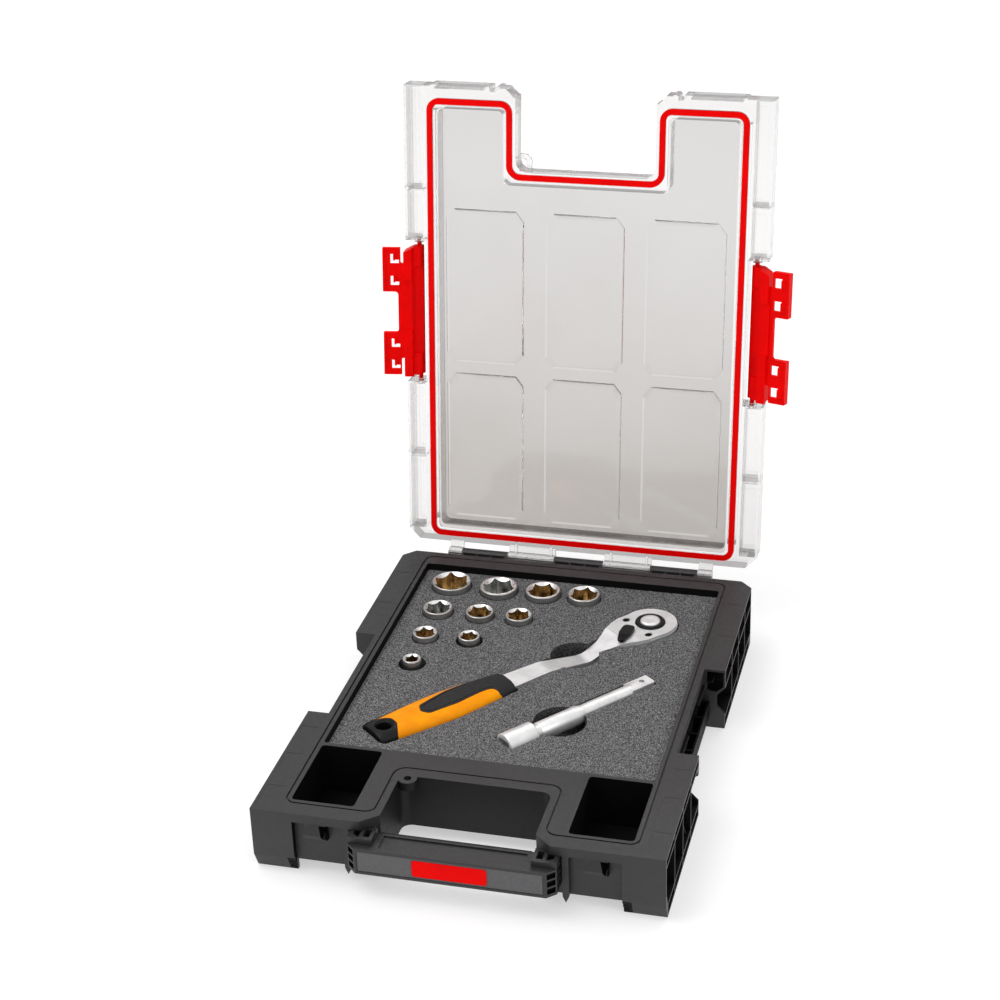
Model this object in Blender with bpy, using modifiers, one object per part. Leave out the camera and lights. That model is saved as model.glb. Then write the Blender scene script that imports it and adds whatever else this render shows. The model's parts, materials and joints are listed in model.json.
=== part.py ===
"""Socket wrench set in a moulded carry case, lid open, tools in their foam insert.

Every size below is in millimetres and becomes metres as each mesh is made. +Z is up, +Y runs
back to the hinge, and the origin is on the ground under the middle of the case. The case's feet
reach below its tub, so heights are measured from the tub's level and an empty raises it all onto
the ground. The lid's pieces are modelled shut and carried by an empty on the hinge line.
"""

import math

import bmesh
import bpy
from mathutils import Matrix, Vector

MM = 0.001
GAP = 0.3                      # clearance between pieces that touch
WELD = 0.00001                 # metres, merge distance for a curve's loose caps
STAND = 6.5                    # height of the level that the tub is measured from

# Case
SIDE = 161.0                   # half width over the wings
END = 209.7                    # half depth of the body
RIM = 50.0                     # top of the rim
BAND = 42.0                    # lower edge of the rim band
TUB_SIDE = 137.5               # half width of the tub's outer wall
TUB_FRONT, TUB_REAR = -203.5, 206.0
TUB_LOW, FLOOR = 4.0, 7.0      # underside and top of the floor
BAND_SIDE = 143.5              # half width of the rim band
RECESS_SIDE, RECESS_REAR = 60.5, -143.4
CAVITY_SIDE, CAVITY_FRONT, CAVITY_REAR = 134.0, -111.6, 188.5
BIN_INNER, BIN_OUTER, BIN_FRONT, BIN_REAR = 83.5, 133.8, -191.5, -115.5
WALL = 3.0
WING_FRONT_END, WING_REAR_START = -70.2, 57.1
WING_FOOT = 8.0                # height at which the chamfer of each outer foot starts
WING_NOTCH = ((162.0, 34.5), (154.0, 26.0), (154.0, 15.5), (162.0, 7.5))
RECESS_CORNER = (74.0, -198.0)  # where the chamfer beside the handle starts and ends
CORNER = 10.3                  # chamfer of the rear outer corners
GROOVE_SIDE, GROOVE_REAR, GROOVE_FRONT = 137.9, 202.1, -195.4
GROOVE_NOTCH_SIDE, GROOVE_NOTCH_REAR = 66.8, -132.7

# Carry handle
HANDLE_FRONT, HANDLE_BACK = -225.5, -200.5
HANDLE_LOW, HANDLE_TOP = 14.0, 36.5
HANDLE_FACE, HANDLE_HALF = 74.0, 81.0

# Hinge and lid
HINGE_Y, HINGE_Z = 219.2, 46.5
HINGE_R, ROD_R = 5.0, 1.5
LID_OPEN = 97.3                # degrees
LID_LOW, LID_TOP = 50.4, 72.0
PANEL_LOW, PANEL_TOP = 53.0, 55.6
LID_SIDE = 143.3
LID_WING = 161.4
LID_WALL = 2.4
BASE_KNUCKLES = ((-109.0, -66.5), (-22.5, 22.5), (66.5, 109.0))
LID_KNUCKLES = ((-122.0, -109.5), (-66.0, -23.0), (23.0, 66.0), (109.5, 122.0))

# Latches
LATCH_X, LATCH_Z = 150.5, 58.0
LATCH_FRONT, LATCH_BACK = -67.0, 54.5
LATCH_REACH = 33.0             # pivot to tip
LATCH_OPEN = {-1: 78.0, 1: 71.0}  # degrees from hanging, left and right
LATCH_HOOKS = ((-64.0, -24.0), (13.5, 53.0))

# Foam insert
FOAM_TOP, FOAM_LOW = 43.5, 7.3

# Sockets: size across the flats, diameter of the nut end, and the place in the foam
SOCKET_TOP, SOCKET_LENGTH = 49.0, 38.0
SQUARE = 12.7                  # half-inch drive
DRIVE_END = 22.0               # least diameter of a socket's drive end
SOCKETS = (
    (27, 35.2, -104.4, 163.0), (24, 33.8, -60.6, 162.4), (22, 31.2, -20.0, 162.8),
    (21, 28.8, 17.2, 163.4), (19, 26.2, -103.8, 115.2), (18, 24.7, -65.8, 115.6),
    (17, 23.6, -30.8, 116.6), (15, 21.7, -102.9, 71.6), (13, 18.7, -64.1, 73.4),
    (10, 16.2, -101.9, 27.6),
)

# Ratchet, along its own +X from the grip to the head, origin at the head's centre
RATCHET_X, RATCHET_Y, RATCHET_TURN = 83.7, 128.8, 48.9
HEAD_R, HEAD_LOW, HEAD_TOP = 23.5, 24.0, 45.0
PLATE_TOP = 47.0
GRIP_Z, GRIP_HALF_HEIGHT = 39.2, 11.0
GRIP_TIP, CAP_END, COLLAR_START, GRIP_END = -283.0, -259.0, -167.0, -151.0
TANG = (7.0, 4.5)              # half width and half height of the steel inside the grip
GEAR_R, GEAR_TEETH = 15.0, 36
LEVER_X, LEVER_TURN = -24.0, 212.5
BUTTON_R, RING_R = 8.8, 13.0

# Extension bar, along its own +X from the female end to the male square
BAR_X, BAR_Y, BAR_Z, BAR_TURN = 66.3, 0.0, 39.8, 50.4
BAR_FEMALE, BAR_MALE = -97.0, 53.0

COLOURS = {
    "charcoal_plastic": ((0.045, 0.044, 0.046), 0.55, 0.0),
    "clear_plastic": ((0.85, 0.87, 0.87), 0.10, 0.0),
    "red_rubber": ((0.62, 0.0, 0.004), 0.5, 0.0),
    "red_plastic": ((0.72, 0.004, 0.006), 0.35, 0.0),
    "label_plate": ((0.10, 0.10, 0.105), 0.6, 0.0),
    "foam": ((0.075, 0.078, 0.085), 0.95, 0.0),
    "chrome": ((0.78, 0.78, 0.77), 0.2, 1.0),
    "hardened_steel": ((0.3, 0.3, 0.3), 0.4, 1.0),
    "orange_grip": ((0.95, 0.32, 0.01), 0.55, 0.0),
    "black_plastic": ((0.02, 0.02, 0.021), 0.5, 0.0),
}


# ---------------------------------------------------------------- scene and materials

def clear_scene():
    for thing in list(bpy.data.objects):
        bpy.data.objects.remove(thing, do_unlink=True)


def make_collection(name):
    collection = bpy.data.collections.new(name)
    bpy.context.scene.collection.children.link(collection)
    return collection


def make_material(name):
    colour, roughness, metallic = COLOURS[name]
    material = bpy.data.materials.new(name)
    material.use_nodes = True
    shader = material.node_tree.nodes["Principled BSDF"]
    shader.inputs["Base Color"].default_value = (*colour, 1.0)
    shader.inputs["Roughness"].default_value = roughness
    shader.inputs["Metallic"].default_value = metallic
    return material


clear_scene()
PARTS = make_collection("socket_wrench_set")
CUTTERS = make_collection("cutters")
MATERIALS = {name: make_material(name) for name in COLOURS}
GROUND = bpy.data.objects.new("ground", None)
GROUND.location = (0.0, 0.0, STAND * MM)
PARTS.objects.link(GROUND)


# ---------------------------------------------------------------- shapes

def tool(mesh):
    """A mesh as a cutter or an addition, kept out of the finished parts."""
    thing = bpy.data.objects.new(mesh.name, mesh)
    CUTTERS.objects.link(thing)
    thing.hide_render = True
    thing.display_type = "WIRE"
    return thing


def from_bmesh(name, shape):
    mesh = bpy.data.meshes.new(name)
    shape.to_mesh(mesh)
    shape.free()
    return mesh


def box(low, high):
    """A block between two corners."""
    shape = bmesh.new()
    bmesh.ops.create_cube(shape, size=1.0)
    low, high = Vector(low) * MM, Vector(high) * MM
    size = high - low
    placed = Matrix.Translation((low + high) / 2) @ Matrix.Diagonal((*size, 1.0))
    bmesh.ops.transform(shape, matrix=placed, verts=shape.verts)
    return tool(from_bmesh("box", shape))


AXES = {
    "X": Matrix(((0, 0, 1), (1, 0, 0), (0, 1, 0))).to_4x4(),
    "Y": Matrix(((1, 0, 0), (0, 0, -1), (0, 1, 0))).to_4x4(),
    "Z": Matrix.Identity(4),
}


def cone(centre, start, stop, r_start, r_stop, axis="Z", segments=32):
    """A cylinder or cone along an axis, from start to stop on that axis."""
    shape = bmesh.new()
    bmesh.ops.create_cone(
        shape, cap_ends=True, segments=segments, radius1=r_start * MM, radius2=r_stop * MM,
        depth=abs(stop - start) * MM,
    )
    along = (start + stop) / 2
    if axis == "Z":
        place = Matrix.Translation(Vector((centre[0], centre[1], along)) * MM)
    elif axis == "X":
        turn = Matrix.Rotation(math.radians(90), 4, "Y")
        place = Matrix.Translation(Vector((along, centre[0], centre[1])) * MM) @ turn
    else:
        turn = Matrix.Rotation(math.radians(-90), 4, "X")
        place = Matrix.Translation(Vector((centre[0], along, centre[1])) * MM) @ turn
    bmesh.ops.transform(shape, matrix=place, verts=shape.verts)
    return tool(from_bmesh("cone", shape))


def cylinder(centre, start, stop, radius, axis="Z", segments=32):
    return cone(centre, start, stop, radius, radius, axis, segments)


def ball(centre, radius):
    shape = bmesh.new()
    bmesh.ops.create_uvsphere(shape, u_segments=12, v_segments=8, radius=radius * MM)
    bmesh.ops.translate(shape, vec=Vector(centre) * MM, verts=shape.verts)
    return tool(from_bmesh("ball", shape))


def baked(thing):
    """The mesh that an object shows, welded, with the object's own transform applied."""
    bpy.context.view_layer.update()
    shown = thing.evaluated_get(bpy.context.evaluated_depsgraph_get())
    mesh = bpy.data.meshes.new_from_object(shown)
    shape = bmesh.new()
    shape.from_mesh(mesh)
    bmesh.ops.remove_doubles(shape, verts=shape.verts, dist=WELD)
    bmesh.ops.recalc_face_normals(shape, faces=shape.faces)
    shape.transform(thing.matrix_world)
    shape.to_mesh(mesh)
    shape.free()
    bpy.data.objects.remove(thing, do_unlink=True)
    return mesh


def prism(outline, start, stop, axis="Z", holes=()):
    """A flat outline given thickness. About X it holds (y, z) pairs, about Y (x, z) pairs."""
    curve = bpy.data.curves.new("prism", "CURVE")
    curve.dimensions = "2D"
    curve.fill_mode = "BOTH"
    curve.extrude = abs(stop - start) / 2 * MM
    for loop in (outline, *holes):
        spline = curve.splines.new("POLY")
        spline.points.add(len(loop) - 1)
        for point, (a, b) in zip(spline.points, loop):
            point.co = (a * MM, b * MM, 0.0, 1.0)
        spline.use_cyclic_u = True
    thing = bpy.data.objects.new("prism", curve)
    CUTTERS.objects.link(thing)
    along = Vector({"X": (1, 0, 0), "Y": (0, 1, 0), "Z": (0, 0, 1)}[axis])
    thing.matrix_world = Matrix.Translation(along * (start + stop) / 2 * MM) @ AXES[axis]
    return tool(baked(thing))


def turned(profile, steps=32, axis="Z"):
    """A solid of revolution. The profile of (radius, height) runs down its outer side."""
    shape = bmesh.new()
    corners = [shape.verts.new((r * MM, 0.0, z * MM)) for r, z in profile]
    for a, b in zip(corners, corners[1:]):
        shape.edges.new((a, b))
    thing = bpy.data.objects.new("turned", from_bmesh("turned", shape))
    CUTTERS.objects.link(thing)
    screw = thing.modifiers.new("turn", "SCREW")
    screw.steps = screw.render_steps = steps
    screw.use_merge_vertices = True
    screw.merge_threshold = WELD
    if axis == "X":
        thing.matrix_world = Matrix.Rotation(math.radians(90), 4, "Y")
    return tool(baked(thing))


def rounded(corners, steps=5):
    """An outline whose corners (x, y, radius) become arcs."""
    points = []
    count = len(corners)
    for i, (x, y, radius) in enumerate(corners):
        here = Vector((x, y))
        if not radius:
            points.append((x, y))
            continue
        before = (Vector(corners[i - 1][:2]) - here).normalized()
        after = (Vector(corners[(i + 1) % count][:2]) - here).normalized()
        half = before.angle(after) / 2
        reach = radius / math.tan(half)
        centre = here + (before + after).normalized() * radius / math.sin(half)
        first, last = here + before * reach - centre, here + after * reach - centre
        sweep = first.angle_signed(last)
        for k in range(steps + 1):
            spoke = first.copy()
            spoke.rotate(Matrix.Rotation(-sweep * k / steps, 2))
            points.append(tuple(centre + spoke))
    return points


def mirrored(half):
    """A closed outline from its right half, which runs from the front to the back."""
    return [*half, *((-x, y, r) for x, y, r in reversed(half))]


def rectangle(x0, y0, x1, y1, radius=0.0):
    return rounded([(x0, y0, radius), (x1, y0, radius), (x1, y1, radius), (x0, y1, radius)])


def circle(x, y, radius, steps=24):
    turn = 2 * math.pi / steps
    return [
        (x + radius * math.cos(k * turn), y + radius * math.sin(k * turn))
        for k in range(steps)
    ]


def boolean(thing, name, operation, others):
    group = bpy.data.collections.new(f"{thing.name}_{name}")
    CUTTERS.children.link(group)
    for other in others:
        CUTTERS.objects.unlink(other)
        group.objects.link(other)
        other.parent = thing.parent
    modifier = thing.modifiers.new(name, "BOOLEAN")
    modifier.operation = operation
    modifier.operand_type = "COLLECTION"
    modifier.solver = "EXACT"
    modifier.collection = group


def part(name, material, base, add=(), cut=(), parent=None):
    """A finished piece: a base solid, solids joined to it, and solids cut from it."""
    CUTTERS.objects.unlink(base)
    PARTS.objects.link(base)
    base.name = base.data.name = name
    base.hide_render = False
    base.display_type = "TEXTURED"
    base.parent = parent or GROUND
    base.data.materials.clear()
    base.data.materials.append(MATERIALS[material])
    if add:
        boolean(base, "join", "UNION", add)
    if cut:
        boolean(base, "cut", "DIFFERENCE", cut)
    return base


def smooth(thing, angle=35.0):
    thing.data.shade_smooth()
    thing.data.set_sharp_from_angle(angle=math.radians(angle))
    return thing


def moved(thing, offset):
    thing.data.transform(Matrix.Translation(Vector(offset) * MM))
    return thing


def empty(name, place, parent=None, turn=(0.0, 0.0, 0.0)):
    """A joint's frame: its origin lies on the joint's axis."""
    frame = bpy.data.objects.new(name, None)
    PARTS.objects.link(frame)
    frame.parent = parent or GROUND
    frame.location = Vector(place) * MM
    frame.rotation_euler = [math.radians(angle) for angle in turn]
    return frame


# ---------------------------------------------------------------- case

def tub_outline():
    x, y = RECESS_CORNER
    return rounded(mirrored([
        (RECESS_SIDE, RECESS_REAR, 8.0), (RECESS_SIDE, y, 2.0),
        (x - END - TUB_FRONT, TUB_FRONT, 2.0), (TUB_SIDE, TUB_FRONT, 0.0),
        (TUB_SIDE, TUB_REAR, 0.0),
    ]))


def band_outline():
    x, y = RECESS_CORNER
    return rounded(mirrored([
        (RECESS_SIDE, RECESS_REAR, 8.0), (RECESS_SIDE, y, 2.0), (x, -END, 2.0),
        (BAND_SIDE, -END, 0.0), (BAND_SIDE, END, 0.0),
    ]))


def seal_path(shift):
    """The gasket's path round the rim, moved outwards by shift."""
    side, notch = GROOVE_SIDE + shift, GROOVE_NOTCH_SIDE - shift
    rear, front = GROOVE_REAR + shift, GROOVE_FRONT - shift
    inner = GROOVE_NOTCH_REAR - shift
    return rounded([
        (notch, front, 8 + shift), (side, front, 8 + shift), (side, rear, 8 + shift),
        (-side, rear, 8 + shift), (-side, front, 8 + shift), (-notch, front, 8 + shift),
        (-notch, inner, 10 - shift), (notch, inner, 10 - shift),
    ])


def ring(width, low, high):
    """A band of the given width along the gasket's path."""
    return prism(seal_path(width / 2), low, high, holes=[seal_path(-width / 2)])


def wings():
    """The four blocks beside the tub, whose feet are chamfered at the case's ends."""
    out = []
    low = -STAND
    for sign in (-1, 1):
        front = [(-END, RIM), (-END, WING_FOOT), (low - END + 13, low), (WING_FRONT_END, low),
                 (WING_FRONT_END, RIM)]
        out.append(prism(front, sign * 134.0, sign * SIDE, "X"))
        inner = [(-END, RIM), (-END, WING_FOOT), (low - END + 13, low), (-200.0, low), (-200.0, RIM)]
        out.append(prism(inner, sign * 128.0, sign * 136.0, "X"))
        rear = [(134.0, WING_REAR_START), (SIDE, WING_REAR_START), (SIDE, END - CORNER),
                (SIDE - CORNER, END), (134.0, END)]
        out.append(prism([(sign * x, y) for x, y in rear], low, RIM))
    return out


def wing_cells():
    """What hollows each wing: side pockets, the notched ends and the rear foot's chamfer."""
    out = []
    wedge = [(END + 2, WING_FOOT + 4), (END - 7.4, -STAND - 2), (END + 2, -STAND - 2)]
    for sign in (-1, 1):
        inner, outer = sorted((sign * (TUB_SIDE + 2.5), sign * (SIDE + 2)))
        for start, stop, count, shelf in (
            (-END + 3, WING_FRONT_END - 2.5, 2, 41.0),
            (WING_REAR_START + 2.5, END - CORNER - 3, 2, 33.0),
        ):
            pitch = (stop - start + 2.5) / count
            for k in range(count):
                y = start + k * pitch
                out.append(box((inner, y, 4.5), (outer, y + pitch - 2.5, shelf - 0.5)))
            out.append(box((inner, start, shelf + 2), (outer, stop, RIM - 2.5)))
            out.append(box((inner, start + 8, -3.5), (outer, stop - 8, 2.0)))
        notch = [(sign * x, z) for x, z in WING_NOTCH]
        out.append(prism(notch, WING_FRONT_END - 4, WING_FRONT_END + 1, "Y"))
        out.append(prism(notch, WING_REAR_START - 1, WING_REAR_START + 4, "Y"))
        out.append(prism(wedge, sign * 130.0, sign * 170.0, "X"))
    return out


def hollows_below():
    """The moulding's hollows under the deck, open at the underside."""
    low, high = TUB_LOW - 3, RIM - WALL
    strip = (RECESS_SIDE + WALL, BIN_INNER - WALL)
    out = [box((-strip[1], -140.0, low), (strip[1], BIN_REAR - 0.5, high))]
    for sign in (-1, 1):
        x0, x1 = sorted((sign * strip[0], sign * strip[1]))
        out.append(box((x0, TUB_FRONT + WALL, low), (x1, -130.0, high)))
    out.append(box((-131.0, CAVITY_REAR + WALL, low), (131.0, TUB_REAR - WALL, high - 2)))
    return out


def handle_solids():
    outline = [
        (-HANDLE_FACE, HANDLE_FRONT), (HANDLE_FACE, HANDLE_FRONT),
        (HANDLE_HALF, HANDLE_FRONT + 6.5), (HANDLE_HALF, TUB_FRONT + 1),
        (RECESS_SIDE + 1, TUB_FRONT + 1), (RECESS_SIDE - 3, HANDLE_BACK),
        (3 - RECESS_SIDE, HANDLE_BACK), (-RECESS_SIDE - 1, TUB_FRONT + 1),
        (-HANDLE_HALF, TUB_FRONT + 1), (-HANDLE_HALF, HANDLE_FRONT + 6.5),
    ]
    out = [prism(outline, HANDLE_LOW, HANDLE_TOP)]
    for sign in (-1, 1):
        x0, x1 = sorted((sign * (RECESS_SIDE + 1), sign * HANDLE_HALF))
        out.append(box((x0, -219.0, 30.0), (x1, TUB_FRONT + 1, 41.5)))
    return out


def handle_cuts():
    """The wells in the handle's arms, the slots in its ends and the seat of the label."""
    out = [box((-72.0, HANDLE_FRONT - 2, 16.3), (72.0, HANDLE_FRONT + 1.2, 34.2))]
    for sign in (-1, 1):
        for inner, outer in ((64.5, 69.8), (72.6, 78.0)):
            x0, x1 = sorted((sign * inner, sign * outer))
            out.append(box((x0, -215.5, 20.0), (x1, -206.0, 45.0)))
        for level in (17.0, 23.5, 30.0):
            x0, x1 = sorted((sign * 79.2, sign * 84.0))
            out.append(box((x0, -218.0, level), (x1, -208.0, level + 4.0)))
    return out


def catches():
    """The ribs that the latches hook under, the wedges in front and the blades beside them."""
    out = []
    for sign in (-1, 1):
        inner, outer = sorted((sign * (TUB_SIDE - 1), sign * 145.8))
        for start, stop in LATCH_HOOKS:
            out.append(box((inner, start + 4, 37.0), (outer, stop - 4, 39.6)))
        skirt = sorted((sign * (TUB_SIDE - 1), sign * 148.0))
        out.append(box((skirt[0], WING_FRONT_END - 1, TUB_LOW),
                       (skirt[1], WING_REAR_START + 1, 19.0)))
        wedge = [(TUB_FRONT + 1, 44.0), (-208.6, 34.0), (-208.6, 32.5), (TUB_FRONT + 1, 26.0)]
        out.append(prism(wedge, sign * 100.5, sign * 117.5, "X"))
        blade = [(82.6, 43.0), (82.6, 5.0), (85.1, -0.5), (87.6, 5.0), (87.6, 43.0)]
        out.append(prism([(sign * x, z) for x, z in blade], TUB_FRONT + 1, -209.0, "Y"))
    return out


def base_knuckles():
    out = []
    for x0, x1 in BASE_KNUCKLES:
        out.append(cylinder((HINGE_Y, HINGE_Z), x0, x1, HINGE_R, "X", 20))
        out.append(box((x0, TUB_REAR - 1, 40.5), (x1, HINGE_Y - 2.5, 49.6)))
    return out


def case_base():
    body = prism(tub_outline(), TUB_LOW, RIM)
    eye = prism(circle(-54.0, -146.5, 7.5), BAND + 1, RIM)
    pad = box((-45.0, -30.0, -STAND), (45.0, 30.0, TUB_LOW + 1))
    add = [prism(band_outline(), BAND, RIM), *wings(), *handle_solids(), *catches(),
           *base_knuckles(), eye, pad]
    cavity = rectangle(-CAVITY_SIDE, CAVITY_FRONT, CAVITY_SIDE, CAVITY_REAR, 2.5)
    cut = [prism(cavity, FLOOR, RIM + 5)]
    for sign in (-1, 1):
        x0, x1 = sorted((sign * BIN_INNER, sign * BIN_OUTER))
        cut.append(prism(rectangle(x0, BIN_FRONT, x1, BIN_REAR, 3.0), FLOOR, RIM + 5))
    cut += [ring(1.6, RIM - 1.2, RIM + 2), *hollows_below(), *wing_cells(), *handle_cuts()]
    cut.append(cylinder((-54.0, -146.5), BAND - 2, RIM + 2, 3.0, segments=16))
    for x0, x1 in BASE_KNUCKLES:
        cut.append(cylinder((HINGE_Y, HINGE_Z), x0 - 1, x1 + 1, ROD_R + GAP, "X", 16))
    return part("case_base", "charcoal_plastic", body, add, cut)


def hinge_rod():
    return smooth(part("hinge_rod", "chrome",
                       cylinder((HINGE_Y, HINGE_Z), -122.5, 122.5, ROD_R, "X", 16)))


def handle_label():
    """The plate in the handle's seat, with a plain badge let into its middle."""
    front = HANDLE_FRONT + 0.2
    plate = box((-71.7, front, 16.6), (71.7, HANDLE_FRONT + 0.9, 33.9))
    seat = box((-24.5, front - 1, 17.9), (24.5, front + 0.3, 32.6))
    part("handle_label_plate", "label_plate", plate, cut=[seat])
    badge = rectangle(-24.2, 18.2, 24.2, 32.3, 2.5)
    part("handle_badge", "red_plastic", prism(badge, front - 0.2, front + 0.2, "Y"))


# ---------------------------------------------------------------- lid

def lid_half(side, wing_side):
    """The lid's outline, right half, from the notch round to the middle of the back."""
    return [
        (61.3, -137.0, 9.0), (61.3, -END, 9.0), (wing_side, -END, 0.0),
        (wing_side, -71.6, 0.0), (side, -71.6, 0.0), (side, 58.6, 0.0),
        (wing_side, 58.6, 0.0), (wing_side, END - CORNER, 0.0), (wing_side - CORNER, END, 0.0),
    ]


def lid_outline():
    return rounded(mirrored(lid_half(LID_SIDE, LID_WING)))


def lid_pockets():
    """The hollows above the panel and in the wings, open at the top."""
    inner = mirrored([
        (78.0, -118.0, 8.0), (78.0, -190.0, 6.0), (129.0, -190.0, 6.0), (129.0, 190.0, 6.0),
    ])
    out = [prism(rounded(inner), PANEL_TOP, LID_TOP + 3)]
    for sign in (-1, 1):
        for start, stop in ((-END + LID_WALL, -71.6 - LID_WALL), (58.6 + LID_WALL, 199.0)):
            count = 3
            pitch = (stop - start + LID_WALL) / count
            for k in range(count):
                y0 = start + k * pitch
                x0, x1 = sorted((sign * 145.5, sign * (LID_WING - LID_WALL)))
                out.append(box((x0, y0, LID_LOW + LID_WALL),
                               (x1, y0 + pitch - LID_WALL, LID_TOP + 3)))
        x0, x1 = sorted((sign * 131.6, sign * (LID_SIDE - LID_WALL)))
        out.append(box((x0, -187.0, PANEL_TOP + 2), (x1, 190.0, LID_TOP + 3)))
    return out


def lid_windows():
    """Six shallow raised windows in the panel, each with clipped corners."""
    out = []
    for x in (-89.5, 0.0, 89.0):
        for y0, y1 in ((-101.5, 38.0), (48.3, 185.0)):
            window = [(x - 28, y0), (x + 28, y0), (x + 35, y0 + 9), (x + 35, y1 - 9),
                      (x + 28, y1), (x - 28, y1), (x - 35, y1 - 9), (x - 35, y0 + 9)]
            out.append(prism(window, LID_LOW + 1, PANEL_LOW + 0.9))
    return out


def lid_cover(hinge):
    body = prism(lid_outline(), LID_LOW, LID_TOP)
    eye = prism(circle(-54.0, -146.5, 7.5), LID_LOW, LID_LOW + 3)
    add = [eye, box((-66.0, -150.0, LID_LOW), (-54.0, -139.0, LID_LOW + 3)),
           box((-56.0, -146.0, LID_LOW), (-46.8, -135.0, LID_LOW + 3))]
    for x0, x1 in LID_KNUCKLES:
        add.append(cylinder((HINGE_Y, HINGE_Z), x0, x1, HINGE_R, "X", 20))
        add.append(box((x0, END - 3, LID_LOW + 0.4), (x1, HINGE_Y, 54.5)))
        add.append(box((x0, HINGE_Y - 4.5, HINGE_Z), (x1, HINGE_Y + 4.5, 54.5)))
    for sign in (-1, 1):
        for y in (LATCH_FRONT - 4.6, LATCH_BACK + 4.1):
            add.append(cylinder((sign * LATCH_X, LATCH_Z), y - 2, y + 2.5, 4.5, "Y", 16))
    inside = mirrored([
        (GROOVE_NOTCH_SIDE + 5, -127.5, 6.0), (GROOVE_NOTCH_SIDE + 5, -190.0, 4.0),
        (132.8, -190.0, 4.0), (132.8, 197.0, 4.0),
    ])
    cut = [prism(rounded(inside), LID_LOW - 3, PANEL_LOW), ring(4.9, LID_LOW - 2, PANEL_LOW)]
    cut += [*lid_pockets(), *lid_windows()]
    cut.append(cylinder((-54.0, -146.5), LID_LOW - 3, LID_LOW + 6, 3.0, segments=16))
    for x0, x1 in LID_KNUCKLES:
        cut.append(cylinder((HINGE_Y, HINGE_Z), x0 - 1, x1 + 1, ROD_R + GAP, "X", 16))
    for sign in (-1, 1):
        for y in (LATCH_FRONT - 4.6, LATCH_BACK + 4.1):
            cut.append(cylinder((sign * LATCH_X, LATCH_Z), y - 4, y + 4, 2.3, "Y", 12))
    shut = (0.0, -HINGE_Y, -HINGE_Z)
    for thing in (body, *add, *cut):
        moved(thing, shut)
    return part("lid_cover", "clear_plastic", body, add, cut, hinge)


def lid_gasket(hinge):
    seal = moved(ring(4.3, LID_LOW - 0.15, PANEL_LOW - 0.2), (0.0, -HINGE_Y, -HINGE_Z))
    part("lid_gasket", "red_rubber", seal, parent=hinge)


def latch(hinge, side_name, sign):
    """One side latch, modelled hanging from its pivot at the origin, then swung open."""
    mid = (LATCH_FRONT + LATCH_BACK) / 2
    place = (sign * LATCH_X, mid - HINGE_Y, LATCH_Z - HINGE_Z)
    pivot = empty(f"latch_{side_name}_axis", place, hinge, (0.0, -sign * LATCH_OPEN[sign], 0.0))
    y0, y1 = LATCH_FRONT - mid, LATCH_BACK - mid
    body = cylinder((0.0, 0.0), y0, y1, 4.2, "Y", 20)
    add = [cylinder((0.0, 0.0), y0 - 4.5, y1 + 4.5, 2.0, "Y", 12)]
    x_in, x_out = sorted((-sign * 4.0, sign * 7.0))
    add.append(box((x_in, y0 + 1.5, -17.0), (x_out, y1 - 1.5, -1.0)))
    cut = [box((min(sign * 1.0, sign * 12), y0 + 12, -13.5),
               (max(sign * 1.0, sign * 12), y1 - 12, -5.0))]
    for start, stop in LATCH_HOOKS:
        a, b = start - mid, stop - mid
        plate = sorted((-sign * 3.8, -sign * 0.8))
        add.append(box((plate[0], a, -LATCH_REACH), (plate[1], b, -15.0)))
        lip = sorted((-sign * 1.5, sign * 2.2))
        add.append(box((lip[0], a, -LATCH_REACH), (lip[1], b, -LATCH_REACH + 2.2)))
        claw = [(sign * -7.2, -21.5), (sign * -2.0, -21.5), (sign * -2.0, -26.5),
                (sign * -4.0, -26.5)]
        add.append(prism(claw, a + 5, b - 5, "Y"))
        for centre in ((3 * a + b) / 4, (a + 3 * b) / 4):
            hole = sorted((-sign * 12.0, sign * 8.0))
            cut.append(box((hole[0], centre - 4.7, -25.0), (hole[1], centre + 4.7, -17.8)))
    return part(f"latch_{side_name}", "red_plastic", body, add, cut, pivot)


# ---------------------------------------------------------------- foam insert

def head_outline(grow=0.0):
    """The ratchet's head and neck in plan, from the collar to the nose."""
    half = [(-153.0, 9.6), (-110.0, 9.2), (-80.0, 7.8), (-64.0, 7.4), (-52.0, 8.6),
            (-44.0, 11.6), (-36.0, 16.2), (-28.0, 20.0), (-19.0, 22.6)]
    nose = [
        (HEAD_R * math.cos(angle), HEAD_R * math.sin(angle))
        for angle in (math.radians(105 - 15 * k) for k in range(8))
    ]
    side = [(x, y + grow) for x, y in half] + [(x + grow * (x > 0), y + grow * (y > 0)) for x, y in nose]
    return [*side, *((x, -y) for x, y in reversed(side[:-1]))]


def ratchet_pocket():
    """What the foam loses for the ratchet, in the ratchet's own frame."""
    shank = prism(head_outline(0.8), 23.4, FOAM_TOP + 5)
    grip = prism(rounded([(GRIP_TIP - 1.2, -17.5, 6.0), (-215.0, -21.5, 20.0),
                          (GRIP_END + 1, -16.5, 2.0), (GRIP_END + 1, 16.5, 2.0),
                          (-215.0, 21.5, 20.0), (GRIP_TIP - 1.2, 17.5, 6.0)]),
                 GRIP_Z - GRIP_HALF_HEIGHT - 0.6, FOAM_TOP + 5)
    drive = cylinder((0.0, 0.0), 11.4, FOAM_TOP, 12.4, segments=20)
    finger = cylinder((-81.0, 0.0), 17.0, FOAM_TOP + 5, 21.0, segments=32)
    return [shank, grip, drive, finger]


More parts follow.
